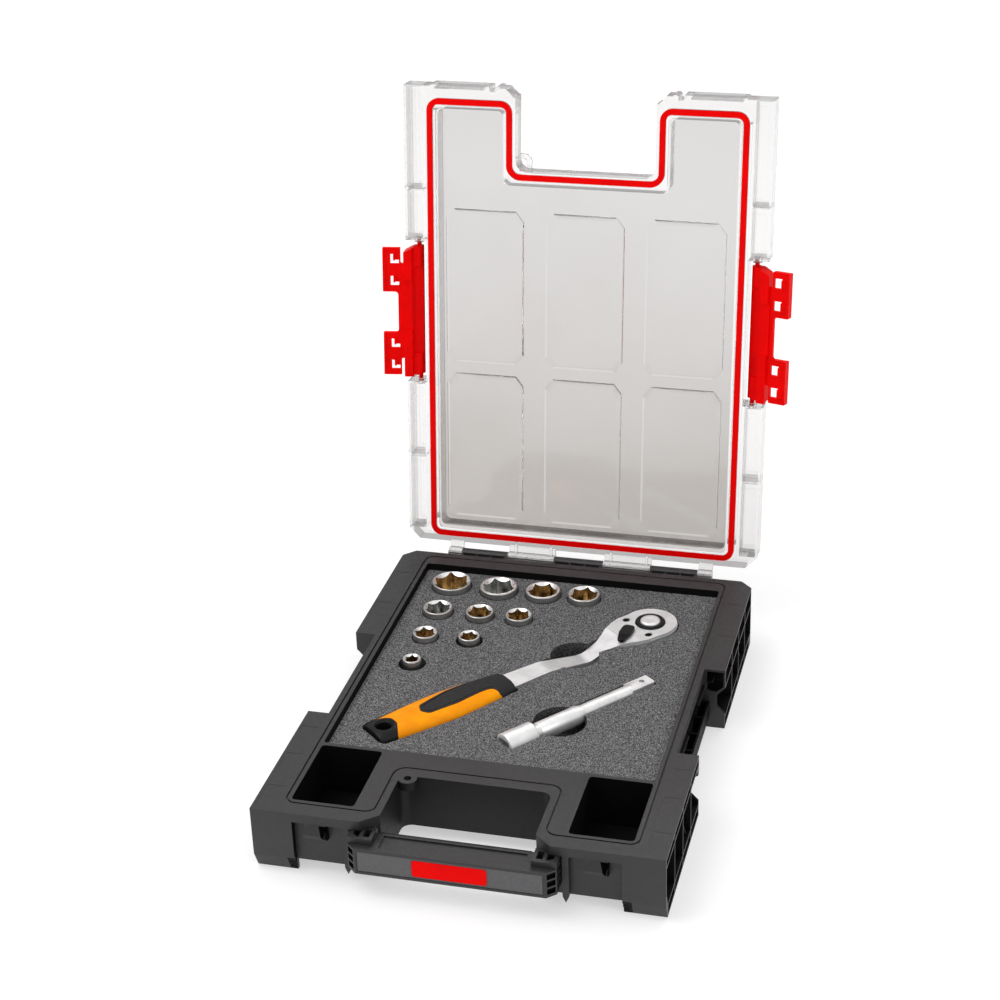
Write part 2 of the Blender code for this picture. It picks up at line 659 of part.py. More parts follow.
def bar_pocket():
    """What the foam loses for the extension bar, in the bar's own frame."""
    low, high = -12.0, 10.0
    return [
        box((BAR_FEMALE - 1, -11.4, low), (-66.0, 11.4, high)),
        box((-67.0, -10.8, low), (-26.0, 10.8, high)),
        box((-27.0, -8.2, low + 3), (BAR_MALE + 1, 8.2, high)),
        cylinder((-43.0, -3.0), low - 10, high, 22.0, segments=32),
    ]


def foam_insert(ratchet_frame, bar_frame):
    outline = rectangle(-CAVITY_SIDE + 0.4, CAVITY_FRONT + 0.4, CAVITY_SIDE - 0.4,
                        CAVITY_REAR - 0.4, 2.2)
    body = prism(outline, FOAM_LOW, FOAM_TOP)
    cut = []
    for _, diameter, x, y in SOCKETS:
        reach = max(diameter, DRIVE_END) / 2 + 0.8
        low = SOCKET_TOP - SOCKET_LENGTH - GAP
        cut.append(cylinder((x, y), low, FOAM_TOP + 5, reach, segments=28))
    for frame, solids in ((ratchet_frame, ratchet_pocket()), (bar_frame, bar_pocket())):
        bpy.context.view_layer.update()
        for solid in solids:
            solid.data.transform(frame.matrix_local)
            cut.append(solid)
    return part("foam_insert", "foam", body, cut=cut)


# ---------------------------------------------------------------- tools

def socket(size, diameter, x, y):
    """A hexagon socket standing on its drive end."""
    low, high = SOCKET_TOP - SOCKET_LENGTH, SOCKET_TOP
    nut, drive = diameter / 2, max(DRIVE_END, 0.88 * diameter) / 2
    waist = low + SOCKET_LENGTH * 0.42
    body = turned([
        (0.0, high), (nut - 0.9, high), (nut, high - 0.9), (nut, waist + 2), (drive, waist - 2),
        (drive, low + 0.9), (drive - 0.9, low), (0.0, low),
    ], 28)
    corner = size / 2 / math.cos(math.radians(30)) + 0.1
    hexagon = circle(0.0, 0.0, corner, 6)
    depth = min(20.0, 10.0 + size / 3)
    half = SQUARE / 2 + 0.15
    cut = [prism(hexagon, high - depth, high + 3), cylinder((0, 0), low - 3, high, 5.0, segments=16),
           box((-half, -half, low - 3), (half, half, low + 16.0))]
    for solid in (body, *cut):
        moved(solid, (x, y, 0.0))
    return smooth(part(f"socket_{size:02d}mm", "chrome", body, cut=cut))


def loft(sections, steps=24):
    """A barrel through (x, half width, half height) superellipses about the grip's line."""
    shape = bmesh.new()
    rings = []
    for x, wide, high in sections:
        loop = []
        for k in range(steps):
            angle = 2 * math.pi * k / steps
            c, s = math.cos(angle), math.sin(angle)
            a = math.copysign(abs(c) ** 0.75, c) * wide
            b = math.copysign(abs(s) ** 0.75, s) * high
            loop.append(shape.verts.new((x * MM, a * MM, (GRIP_Z + b) * MM)))
        rings.append(loop)
    for one, two in zip(rings, rings[1:]):
        for k in range(steps):
            shape.faces.new((one[k], one[(k + 1) % steps], two[(k + 1) % steps], two[k]))
    shape.faces.new(list(reversed(rings[0])))
    shape.faces.new(rings[-1])
    bmesh.ops.recalc_face_normals(shape, faces=shape.faces)
    return tool(from_bmesh("loft", shape))


GRIP_SECTIONS = (
    (GRIP_TIP, 14.5, 8.5), (GRIP_TIP + 4, 15.6, 9.8), (-271.0, 16.2, 10.2), (CAP_END, 17.2, 10.4),
    (-240.0, 19.0, 10.8), (-222.0, 20.0, GRIP_HALF_HEIGHT), (-205.0, 20.0, GRIP_HALF_HEIGHT),
    (-188.0, 18.8, 10.8), (COLLAR_START, 16.6, 10.4), (GRIP_END - 3, 14.6, 9.6),
    (GRIP_END, 13.4, 8.6),
)
STRIP = ((-231.0, -10.0), (COLLAR_START, 10.0))


def grip_shell(frame):
    """The orange handle, bored for the steel tang and recessed on top for the black inlay."""
    cut = [box((-300.0, -30.0, 0.0), (CAP_END + GAP, 30.0, 70.0)),
           box((COLLAR_START - GAP, -30.0, 0.0), (-140.0, 30.0, 70.0)),
           box((-256.0, -TANG[0] - GAP, GRIP_Z - TANG[1] - GAP),
               (-140.0, TANG[0] + GAP, GRIP_Z + TANG[1] + GAP)),
           box((STRIP[0][0] - GAP, STRIP[0][1] - GAP, GRIP_Z + 7.7),
               (STRIP[1][0] + 1, STRIP[1][1] + GAP, 70.0))]
    smooth(part("grip_shell", "orange_grip", loft(GRIP_SECTIONS), cut=cut, parent=frame))


def grip_inlay(frame):
    """The black collar at the front of the grip and the strip along its top."""
    keep = [box((-300.0, -30.0, 0.0), (STRIP[0][0], 30.0, 70.0)),
            box((-300.0, -30.0, 0.0), (COLLAR_START, 30.0, GRIP_Z + 8.0)),
            box((-300.0, -40.0, 0.0), (COLLAR_START, STRIP[0][1], 70.0)),
            box((-300.0, STRIP[1][1], 0.0), (COLLAR_START, 40.0, 70.0)),
            box((-300.0, -TANG[0] - GAP, GRIP_Z - TANG[1] - GAP),
                (-140.0, TANG[0] + GAP, GRIP_Z + TANG[1] + GAP))]
    smooth(part("grip_inlay", "black_plastic", loft(GRIP_SECTIONS), cut=keep, parent=frame))


def grip_end_cap(frame):
    cut = [box((CAP_END, -30.0, 0.0), (-140.0, 30.0, 70.0)),
           cylinder((-272.0, 0.0), 0.0, 70.0, 5.2, segments=20)]
    smooth(part("grip_end_cap", "black_plastic", loft(GRIP_SECTIONS), cut=cut, parent=frame))


def ratchet_body(frame):
    """The forged steel body: head, dipped neck, shank and the tang inside the grip."""
    side = rounded([
        (HEAD_R + 1, HEAD_LOW, 2.0), (HEAD_R + 1, HEAD_TOP, 0.0), (-35.5, HEAD_TOP, 0.0),
        (-35.7, PLATE_TOP, 0.0), (-40.0, 46.4, 6.0), (-70.0, 36.5, 20.0), (-112.0, 44.0, 30.0),
        (-150.6, 44.0, 0.0), (-150.6, 34.4, 0.0), (-112.0, 34.4, 30.0), (-70.0, 25.0, 20.0),
        (-40.0, HEAD_LOW, 10.0),
    ], 4)
    body = prism(side, -30.0, 30.0, "Y")
    plan = prism(head_outline(), 0.0, 70.0)
    tang = box((-252.0, -TANG[0], GRIP_Z - TANG[1]), (-149.0, TANG[0], GRIP_Z + TANG[1]))
    cut = [
        cylinder((0, 0), 27.2, HEAD_TOP + 5, GEAR_R + 1.0, segments=36),
        cylinder((0, 0), 20.0, 30.0, 11.8, segments=28),
        box((-31.0, -12.3, 31.0), (-8.0, 12.3, HEAD_TOP + 5)),
        cylinder((-14.0, 15.7), 38.0, HEAD_TOP + 5, 1.9, segments=12),
        cylinder((-14.0, -15.7), 38.0, HEAD_TOP + 5, 1.9, segments=12),
    ]
    thing = part("ratchet_body", "chrome", body, parent=frame)
    boolean(thing, "plan", "INTERSECT", [plan])
    boolean(thing, "join", "UNION", [tang])
    boolean(thing, "cut", "DIFFERENCE", cut)
    return smooth(thing)


def cover_plate(frame):
    plate = prism([(x, y * 0.985) for x, y in head_outline(-0.2)], HEAD_TOP + GAP, PLATE_TOP)
    cut = [box((-160.0, -30.0, 0.0), (-35.2, 30.0, 70.0)),
           cylinder((0, 0), 0.0, 70.0, RING_R + GAP, segments=32),
           cylinder((LEVER_X, 0.0), 0.0, 70.0, 4.9, segments=20)]
    for side in (-1, 1):
        cut.append(cylinder((-14.0, side * 15.7), 0.0, 70.0, 3.4, segments=16))
    smooth(part("cover_plate", "chrome", plate, cut=cut, parent=frame))


def cover_screw(frame, name, side):
    head = cylinder((-14.0, side * 15.7), HEAD_TOP + GAP, PLATE_TOP - 0.4, 3.0, segments=16)
    shank = cylinder((-14.0, side * 15.7), 38.4, HEAD_TOP + 1, 1.6, segments=12)
    slot = prism(circle(-14.0, side * 15.7, 1.3, 6), HEAD_TOP + 1.0, PLATE_TOP + 1)
    smooth(part(name, "hardened_steel", head, [shank], [slot], frame))


def retaining_ring(frame):
    body = cylinder((0, 0), 44.3, 48.6, RING_R, segments=32)
    hole = cylinder((0, 0), 30.0, 60.0, BUTTON_R + 0.4, segments=32)
    smooth(part("retaining_ring", "black_plastic", body, cut=[hole], parent=frame))


def gear_outline():
    points = []
    for k in range(GEAR_TEETH * 2):
        angle = math.pi * k / GEAR_TEETH
        radius = GEAR_R if k % 2 else GEAR_R - 1.1
        points.append((radius * math.cos(angle), radius * math.sin(angle)))
    return points


def drive_gear(frame):
    """The toothed wheel with the drive square below and the button's well above."""
    half = SQUARE / 2
    body = prism(gear_outline(), 27.6, 44.0)
    add = [cylinder((0, 0), 22.0, 28.0, 11.4, segments=28),
           prism(rectangle(-half, -half, half, half, 1.2), 12.0, 23.0)]
    cut = [cylinder((0, 0), 34.0, 60.0, BUTTON_R + 0.4, segments=28),
           cylinder((0, 0), 13.5, 40.0, 2.2, segments=12),
           cylinder((0, 16.5), 2.0, 12.0, 2.4, "X", 12)]
    smooth(part("drive_gear", "hardened_steel", body, add, cut, frame))


def drive_ball(frame):
    smooth(part("drive_ball", "hardened_steel", ball((5.3, 0.0, 16.5), 2.1), parent=frame))


def release_button(frame):
    """The push button, whose stem frees the ball when it is pressed."""
    body = turned([(0.0, 49.8), (BUTTON_R - 0.8, 49.8), (BUTTON_R, 49.0), (BUTTON_R, 42.0),
                   (1.8, 42.0), (1.8, 19.0), (0.0, 19.0)], 32)
    smooth(part("release_button", "chrome", body, parent=frame))


def button_spring(frame):
    """A coil under the button, in the gear's well."""
    turns, steps, radius, wire = 4, 10, 5.4, 0.45
    low, high = 34.2 + wire, 41.7 - wire
    curve = bpy.data.curves.new("spring", "CURVE")
    curve.dimensions = "3D"
    curve.bevel_depth = wire * MM
    curve.bevel_resolution = 1
    curve.use_fill_caps = True
    spline = curve.splines.new("POLY")
    spline.points.add(turns * steps)
    for k, point in enumerate(spline.points):
        angle = 2 * math.pi * k / steps
        rise = low + (high - low) * k / (turns * steps)
        point.co = (radius * math.cos(angle) * MM, radius * math.sin(angle) * MM, rise * MM, 1.0)
    thing = bpy.data.objects.new("spring", curve)
    CUTTERS.objects.link(thing)
    part("button_spring", "hardened_steel", tool(baked(thing)), parent=frame)


def reverse_lever(frame):
    """The direction lever: a paddle on a short shaft through the cover plate."""
    base = cylinder((0, 0), 43.2, PLATE_TOP + 0.6, 4.5, segments=20)
    paddle = rounded([(-5.5, -6.2, 5.0), (9.0, -6.6, 3.0), (23.5, -3.0, 2.5), (25.0, 3.0, 2.5),
                      (9.0, 6.6, 3.0), (-5.5, 6.2, 5.0)], 4)
    add = [prism(paddle, PLATE_TOP + 0.3, 50.0)]
    smooth(part("reverse_lever", "black_plastic", base, add, parent=frame))


def pawl(frame):
    """The rocker that meets the gear on one side or the other as the lever turns it."""
    outline = rounded([(-4.6, -5.5, 4.0), (4.0, -10.2, 1.0), (10.2, -9.6, 0.5), (8.0, -5.0, 1.0),
                       (6.4, 0.0, 3.0), (8.0, 5.0, 1.0), (10.2, 9.6, 0.5), (4.0, 10.2, 1.0),
                       (-4.6, 5.5, 4.0)], 3)
    thing = part("pawl", "hardened_steel", prism(outline, 31.6, 42.8), parent=frame)
    return smooth(thing)


def ratchet(frame):
    ratchet_body(frame)
    grip_shell(frame)
    grip_inlay(frame)
    grip_end_cap(frame)
    cover_plate(frame)
    cover_screw(frame, "cover_screw_left", 1)
    cover_screw(frame, "cover_screw_right", -1)
    retaining_ring(frame)
    drive_gear(frame)
    drive_ball(frame)
    button_spring(frame)
    release_button(frame)
    pivot = empty("reverse_lever_axis", (LEVER_X, 0.0, 0.0), frame, (0.0, 0.0, LEVER_TURN))
    reverse_lever(pivot)
    pawl(empty("pawl_axis", (LEVER_X, 0.0, 0.0), frame, (0.0, 0.0, 5.0)))


def extension_bar(frame):
    """A turned bar with a female square at one end and a male square with a ball at the other."""
    half = SQUARE / 2
    body = turned([
        (0.0, 34.0), (6.6, 34.0), (6.9, 31.0), (6.9, -23.0), (9.6, -28.0), (9.6, -65.5),
        (8.6, -66.3), (8.6, -67.6), (10.4, -68.8), (10.4, BAR_FEMALE + 0.9),
        (9.5, BAR_FEMALE), (0.0, BAR_FEMALE),
    ], 28, "X")
    square = prism([(-half, -half + 1), (-half + 1, -half), (half - 1, -half), (half, -half + 1),
                    (half, half - 1), (half - 1, half), (-half + 1, half), (-half, half - 1)],
                   30.0, BAR_MALE, "X")
    cut = [box((BAR_FEMALE - 2, -half - 0.15, -half - 0.15),
               (BAR_FEMALE + 17, half + 0.15, half + 0.15)),
           cylinder((44.5, 0.0), 2.0, 12.0, 2.3, segments=12)]
    smooth(part("extension_bar", "chrome", body, [square], cut, frame))
    smooth(part("extension_ball", "hardened_steel", ball((44.5, 0.0, 5.0), 2.0), parent=frame))


# ---------------------------------------------------------------- assembly

def assemble():
    case_base()
    hinge_rod()
    handle_label()
    hinge = empty("lid_hinge_axis", (0.0, HINGE_Y, HINGE_Z), turn=(-LID_OPEN, 0.0, 0.0))
    lid_cover(hinge)
    lid_gasket(hinge)
    latch(hinge, "left", -1)
    latch(hinge, "right", 1)
    ratchet_frame = empty("ratchet_frame", (RATCHET_X, RATCHET_Y, 0.0),
                          turn=(0.0, 0.0, RATCHET_TURN))
    bar_frame = empty("extension_frame", (BAR_X, BAR_Y, BAR_Z), turn=(0.0, 0.0, BAR_TURN))
    foam_insert(ratchet_frame, bar_frame)
    for size, diameter, x, y in SOCKETS:
        socket(size, diameter, x, y)
    ratchet(ratchet_frame)
    extension_bar(bar_frame)
    bpy.context.view_layer.update()


assemble()
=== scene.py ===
import json
import math

import bmesh
import bpy
from mathutils import Matrix, Vector

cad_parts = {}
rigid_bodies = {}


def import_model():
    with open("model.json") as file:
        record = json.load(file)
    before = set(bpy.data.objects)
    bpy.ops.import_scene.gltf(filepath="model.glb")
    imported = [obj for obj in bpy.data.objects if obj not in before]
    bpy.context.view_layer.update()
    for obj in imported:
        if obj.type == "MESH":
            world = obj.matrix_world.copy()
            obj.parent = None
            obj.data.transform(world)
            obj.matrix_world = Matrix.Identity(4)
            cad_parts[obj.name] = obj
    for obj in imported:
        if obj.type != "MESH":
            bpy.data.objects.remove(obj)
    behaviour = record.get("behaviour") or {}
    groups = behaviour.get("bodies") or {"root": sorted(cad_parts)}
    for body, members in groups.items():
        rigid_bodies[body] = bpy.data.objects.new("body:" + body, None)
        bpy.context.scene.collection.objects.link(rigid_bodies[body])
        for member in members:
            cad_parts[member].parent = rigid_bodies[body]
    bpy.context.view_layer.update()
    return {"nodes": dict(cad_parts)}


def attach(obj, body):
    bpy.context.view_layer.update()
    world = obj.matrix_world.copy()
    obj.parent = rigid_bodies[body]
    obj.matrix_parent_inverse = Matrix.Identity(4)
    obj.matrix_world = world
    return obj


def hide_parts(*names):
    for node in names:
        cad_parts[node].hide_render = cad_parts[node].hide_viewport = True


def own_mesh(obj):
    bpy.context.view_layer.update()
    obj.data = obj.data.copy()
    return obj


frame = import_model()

# Shapes are written in millimetres above the tub's level, which stands UP above the ground.
MM = 0.001
UP = 6.5
WELD, CLEAN = 0.000008, 0.000004      # metres
SCENE = bpy.context.scene
TEMP = bpy.data.collections.new("temp")
SCENE.collection.children.link(TEMP)


def shift(x=0.0, y=0.0, z=0.0):
    return Matrix.Translation(Vector((x, y, z)) * MM)


def turn(degrees, axis):
    return Matrix.Rotation(math.radians(degrees), 4, axis)


HINGE_Y, HINGE_Z = 219.2, 46.5
CASE = shift(z=UP)
LID = shift(0, HINGE_Y, HINGE_Z + UP) @ turn(-97.3, "X") @ shift(0, -HINGE_Y, -HINGE_Z)
RATCHET = shift(83.7, 128.8, UP) @ turn(48.9, "Z")
BAR = shift(66.3, 0.0, 39.8 + UP) @ turn(50.4, "Z")


# ---------------------------------------------------------------- mesh tools

def tool(mesh):
    thing = bpy.data.objects.new(mesh.name, mesh)
    TEMP.objects.link(thing)
    return thing


def from_bmesh(shape):
    mesh = bpy.data.meshes.new("shape")
    shape.to_mesh(mesh)
    shape.free()
    return mesh


def box(low, high):
    shape = bmesh.new()
    bmesh.ops.create_cube(shape, size=1.0)
    low, high = Vector(low) * MM, Vector(high) * MM
    size = [abs(v) for v in high - low]
    placed = Matrix.Translation((low + high) / 2) @ Matrix.Diagonal((*size, 1.0))
    bmesh.ops.transform(shape, matrix=placed, verts=shape.verts)
    return tool(from_bmesh(shape))


def hull(points):
    """The convex solid round some corners."""
    shape = bmesh.new()
    for point in points:
        shape.verts.new(Vector(point) * MM)
    out = bmesh.ops.convex_hull(shape, input=shape.verts)
    unused = out["geom_interior"] + out["geom_unused"]
    loose = {v for v in unused if isinstance(v, bmesh.types.BMVert)}
    bmesh.ops.delete(shape, geom=list(loose), context="VERTS")
    bmesh.ops.recalc_face_normals(shape, faces=shape.faces)
    return tool(from_bmesh(shape))


AXES = {
    "X": Matrix(((0, 0, 1), (1, 0, 0), (0, 1, 0))).to_4x4(),
    "Y": Matrix(((1, 0, 0), (0, 0, -1), (0, 1, 0))).to_4x4(),
    "Z": Matrix.Identity(4),
}


def baked(thing):
    """The mesh that an object shows, welded."""
    bpy.context.view_layer.update()
    shown = thing.evaluated_get(bpy.context.evaluated_depsgraph_get())
    mesh = bpy.data.meshes.new_from_object(shown)
    shape = bmesh.new()
    shape.from_mesh(mesh)
    bmesh.ops.remove_doubles(shape, verts=shape.verts, dist=WELD)
    bmesh.ops.recalc_face_normals(shape, faces=shape.faces)
    shape.transform(thing.matrix_world)
    shape.to_mesh(mesh)
    shape.free()
    bpy.data.objects.remove(thing, do_unlink=True)
    return mesh


def prism(outline, start, stop, axis="Z", holes=()):
    """A flat outline given thickness. About X it holds (y, z) pairs, about Y (x, z) pairs."""
    curve = bpy.data.curves.new("prism", "CURVE")
    curve.dimensions = "2D"
    curve.fill_mode = "BOTH"
    curve.extrude = abs(stop - start) / 2 * MM
    for loop in (outline, *holes):
        spline = curve.splines.new("POLY")
        spline.points.add(len(loop) - 1)
        for point, (a, b) in zip(spline.points, loop):
            point.co = (a * MM, b * MM, 0.0, 1.0)
        spline.use_cyclic_u = True
    thing = bpy.data.objects.new("prism", curve)
    TEMP.objects.link(thing)
    along = Vector({"X": (1, 0, 0), "Y": (0, 1, 0), "Z": (0, 0, 1)}[axis])
    thing.matrix_world = Matrix.Translation(along * (start + stop) / 2 * MM) @ AXES[axis]
    return tool(baked(thing))


def turned(profile, steps=64, place=None):
    """A solid of revolution about Z. The profile of (radius, height) runs down its outer side."""
    shape = bmesh.new()
    rings = []
    for r, z in profile:
        if r < 1e-6:
            rings.append([shape.verts.new((0.0, 0.0, z * MM))])
            continue
        rings.append([
            shape.verts.new((r * math.cos(a) * MM, r * math.sin(a) * MM, z * MM))
            for a in (2 * math.pi * k / steps for k in range(steps))
        ])
    for one, two in zip(rings, rings[1:]):
        for k in range(steps):
            j = (k + 1) % steps
            if len(one) == 1:
                shape.faces.new((one[0], two[k], two[j]))
            elif len(two) == 1:
                shape.faces.new((one[k], two[0], one[j]))
            else:
                shape.faces.new((one[k], two[k], two[j], one[j]))
    bmesh.ops.recalc_face_normals(shape, faces=shape.faces)
    if place is not None:
        shape.transform(place)
    return tool(from_bmesh(shape))


def rod(centre, start, stop, radius, axis="Z", steps=32, far=None):
    """A cylinder, or a cone that ends with the radius far, along an axis."""
    shape = bmesh.new()
    bmesh.ops.create_cone(
        shape, cap_ends=True, segments=steps, radius1=radius * MM,
        radius2=(radius if far is None else far) * MM, depth=abs(stop - start) * MM,
    )
    a, b = centre
    mid = (start + stop) / 2
    if axis == "Z":
        place = shift(a, b, mid)
    elif axis == "X":
        place = shift(mid, a, b) @ turn(90, "Y")
    else:
        place = shift(a, mid, b) @ turn(-90, "X")
    shape.transform(place)
    return tool(from_bmesh(shape))


def rounded(corners, steps=6):
    """An outline whose corners (x, y, radius) become arcs."""
    points = []
    count = len(corners)
    for i, (x, y, radius) in enumerate(corners):
        here = Vector((x, y))
        if not radius:
            points.append((x, y))
            continue
        before = (Vector(corners[i - 1][:2]) - here).normalized()
        after = (Vector(corners[(i + 1) % count][:2]) - here).normalized()
        half = before.angle(after) / 2
        reach = radius / math.tan(half)
        centre = here + (before + after).normalized() * radius / math.sin(half)
        first, last = here + before * reach - centre, here + after * reach - centre
        sweep = first.angle_signed(last)
        for k in range(steps + 1):
            spoke = first.copy()
            spoke.rotate(Matrix.Rotation(-sweep * k / steps, 2))
            points.append(tuple(centre + spoke))
    return points


def flip(points, sign):
    """Flat points, mirrored in their first coordinate where the sign is -1."""
    return [(sign * a, b) for a, b in points]


def mirrored(half):
    return [*half, *((-x, y, r) for x, y, r in reversed(half))]


def rectangle(x0, y0, x1, y1, radius=0.0):
    return rounded([(x0, y0, radius), (x1, y0, radius), (x1, y1, radius), (x0, y1, radius)])


def circle(x, y, radius, steps=32, start=0.0):
    step = 2 * math.pi / steps
    return [(x + radius * math.cos(start + k * step), y + radius * math.sin(start + k * step))
            for k in range(steps)]


def boolean(thing, operation, others):
    group = bpy.data.collections.new("operands")
    TEMP.children.link(group)
    for other in others:
        TEMP.objects.unlink(other)
        group.objects.link(other)
    modifier = thing.modifiers.new("boolean", "BOOLEAN")
    modifier.operation = operation
    modifier.operand_type = "COLLECTION"
    modifier.solver = "MANIFOLD"
    modifier.collection = group
    out = tool(baked(thing))
    for other in list(group.objects):
        bpy.data.objects.remove(other, do_unlink=True)
    bpy.data.collections.remove(group)
    return out


def joined(thing, *others):
    return boolean(thing, "UNION", others)


def cut(thing, *others):
    return boolean(thing, "DIFFERENCE", others)


def sliced(thing, *planes):
    """Edges added where planes (axis, millimetres) pass, so that faces can be told apart."""
    shape = bmesh.new()
    shape.from_mesh(thing.data)
    for axis, at in planes:
        normal = Vector([float(axis == k) for k in "XYZ"])
        bmesh.ops.bisect_plane(shape, geom=[*shape.verts, *shape.edges, *shape.faces],
                               plane_co=normal * at * MM, plane_no=normal, dist=1e-6)
    shape.to_mesh(thing.data)
    shape.free()
    return thing


def sorted_faces(thing, rule):
    """Gives each face the material that rule(x, y, z, normal) chooses, in millimetres."""
    for face in thing.data.polygons:
        c = face.center / MM
        face.material_index = rule(c.x, c.y, c.z, face.normal)


def moved(thing, place):
    thing.data.transform(place)
    return thing


def soften(thing, width, segments, angle, harden=True, miter="MITER_SHARP"):
    """A bevel on the edges that are sharper than an angle."""
    soft = thing.modifiers.new("edges", "BEVEL")
    soft.width = width * MM
    soft.segments = segments
    soft.limit_method = "ANGLE"
    soft.angle_limit = math.radians(angle)
    soft.harden_normals = harden
    soft.miter_outer = miter


def piece(name, thing, material, body, replaces=(), place=CASE, bevel=0.3, steps=2,
          angle=30.0, flat=1.0, more=(), shade=True, split=False):
    """Finishes a shape: cleaned, placed, softly bevelled and tied to its body."""
    shape = bmesh.new()
    shape.from_mesh(thing.data)
    bmesh.ops.remove_doubles(shape, verts=shape.verts, dist=CLEAN)
    bmesh.ops.dissolve_degenerate(shape, edges=shape.edges, dist=CLEAN)
    if flat:
        bmesh.ops.dissolve_limit(shape, angle_limit=math.radians(flat), verts=shape.verts,
                                 edges=shape.edges, delimit={"MATERIAL"})
    if split:
        bmesh.ops.triangulate(shape, faces=[f for f in shape.faces if len(f.verts) > 4],
                              quad_method="BEAUTY", ngon_method="BEAUTY")
    shape.transform(place)
    shape.to_mesh(thing.data)
    shape.free()
    TEMP.objects.unlink(thing)
    SCENE.collection.objects.link(thing)
    thing.name = thing.data.name = name
    kinds = [face.material_index for face in thing.data.polygons]
    thing.data.materials.clear()
    for one in (material, *more):
        thing.data.materials.append(one)
    thing.data.polygons.foreach_set("material_index", kinds)
    (thing.data.shade_smooth if shade else thing.data.shade_flat)()
    if bevel:
        soften(thing, bevel, steps, angle, shade, "MITER_ARC")
    elif shade:
        thing.data.set_sharp_from_angle(angle=math.radians(angle))
    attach(thing, body)
    if replaces:
        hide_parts(*replaces)
    return thing


# ---------------------------------------------------------------- materials

class Finish:
    """A Principled material with helpers for the textures that drive it, in metres."""

    def __init__(self, name, colour, rough, metal=0.0, **more):
        self.material = bpy.data.materials.new(name)
        self.material.use_nodes = True
        self.nodes = self.material.node_tree.nodes
        self.links = self.material.node_tree.links
        self.shader = self.nodes["Principled BSDF"]
        self.feed(self.shader, Base_Color=colour, Roughness=rough, Metallic=metal, **more)
        self.place = self.nodes.new("ShaderNodeTexCoord").outputs["Object"]
        self.normal = None

    def put(self, socket, value):
        """Links an input, or sets it; a colour is given without its alpha."""
        if isinstance(value, bpy.types.NodeSocket):
            self.links.new(value, socket)
        else:
            socket.default_value = (*value, 1.0) if socket.type == "RGBA" else value

    def feed(self, node, **inputs):
        for key, value in inputs.items():
            self.put(node.inputs[key.replace("_", " ")], value)
        return node

    def add(self, kind, **inputs):
        return self.feed(self.nodes.new(f"ShaderNode{kind}"), **inputs)

    def to(self, socket, value):
        self.put(self.shader.inputs[socket], value)

    def mapped(self, scale=(1, 1, 1), spin=(0, 0, 0)):
        """Object coordinates turned into a piece's own axes, then scaled."""
        node = self.add("Mapping", Vector=self.place, Rotation=[math.radians(v) for v in spin])
        node.vector_type = "TEXTURE"
        return self.feed(node, Scale=[1 / v for v in scale]).outputs["Vector"]

    def noise(self, scale, detail=3.0, rough=0.55, at=None, twist=0.0):
        return self.add("TexNoise", Scale=scale, Detail=detail, Roughness=rough, Distortion=twist,
                        Vector=at or self.place).outputs["Fac"]

    def cells(self, scale):
        return self.add("TexVoronoi", Scale=scale, Vector=self.place).outputs["Distance"]

    def waves(self, scale, twist):
        return self.add("TexWave", Scale=scale, Distortion=twist, Vector=self.place).outputs["Fac"]

    def ramp(self, value, *stops):
        node = self.add("ValToRGB", Fac=value)
        marks = node.color_ramp.elements
        while len(marks) < len(stops):
            marks.new(0.5)
        for mark, (at, colour) in zip(marks, stops):
            mark.position = at
            mark.color = (*(colour if isinstance(colour, tuple) else (colour,) * 3), 1.0)
        return node.outputs["Color"]

    def spread(self, value, low, high, start=0.3, stop=0.7):
        return self.add("MapRange", Value=value, From_Min=start, From_Max=stop, To_Min=low,
                        To_Max=high).outputs["Result"]

    def blend(self, factor, one, two, kind="MIX"):
        node = self.add("Mix")
        node.data_type, node.blend_type = "RGBA", kind
        for socket, value in zip([s for s in node.inputs if s.enabled], (factor, one, two)):
            self.put(socket, value)
        return [s for s in node.outputs if s.enabled][0]

    def math(self, operation, *values):
        node = self.add("Math")
        node.operation = operation
        for socket, value in zip(node.inputs, values):
            self.put(socket, value)
        return node.outputs["Value"]

    def bump(self, height, depth, strength=1.0):
        """Bumps add up: each one starts from the normal of the one before it."""
        node = self.add("Bump", Height=height, Distance=depth * MM, Strength=strength)
        if self.normal is not None:
            self.put(node.inputs["Normal"], self.normal)
        self.normal = node.outputs["Normal"]
        self.to("Normal", self.normal)


def moulded(name, dark, light, rough, grain=0.03, size=1500.0, **more):
    """Injection-moulded plastic: a fine even grain, faint flow marks and a little handling wear."""
    f = Finish(name, light, rough, **more)
    flow = f.noise(14.0, 4.0, 0.6, f.mapped((1.0, 0.35, 1.0)), 0.4)
    wear = f.noise(260.0, 5.0, 0.7)
    f.to("Base Color", f.ramp(f.math("MULTIPLY_ADD", flow, 0.7, 0.5), (0.25, dark), (0.62, light)))
    f.to("Roughness", f.spread(wear, rough - 0.07, rough + 0.08))
    f.bump(f.noise(size, 3.0, 0.6), grain)
    f.bump(f.noise(45.0, 2.0), 0.05, 0.6)
    return f.material


def foam_finish(name, deep):
    """Closed-cell foam: dark and light specks over soft patches; a deep below 1 darkens it all, painted
    shade for the pocket walls.
    """
    f = Finish(name, tuple(v * deep for v in (0.07, 0.073, 0.08)), 0.97,
               Specular_IOR_Level=0.2 * deep)
    speck = f.noise(1250.0, 2.0, 0.9)
    patches = f.ramp(f.noise(1000.0, 1.0, 0.6), (0.35, 0.68), (0.65, 1.0))
    greys = ((0.37, (0.016, 0.016, 0.018)), (0.5, (0.099, 0.099, 0.102)), (0.63, (0.42, 0.42, 0.425)))
    tone = f.ramp(speck, *((at, tuple(v * deep for v in grey)) for at, grey in greys))
    f.to("Base Color", f.blend(1.0, tone, patches, "MULTIPLY"))
    f.bump(f.cells(900.0), 0.5, 0.7)
    f.bump(speck, 0.5, 0.6)
    return f.material


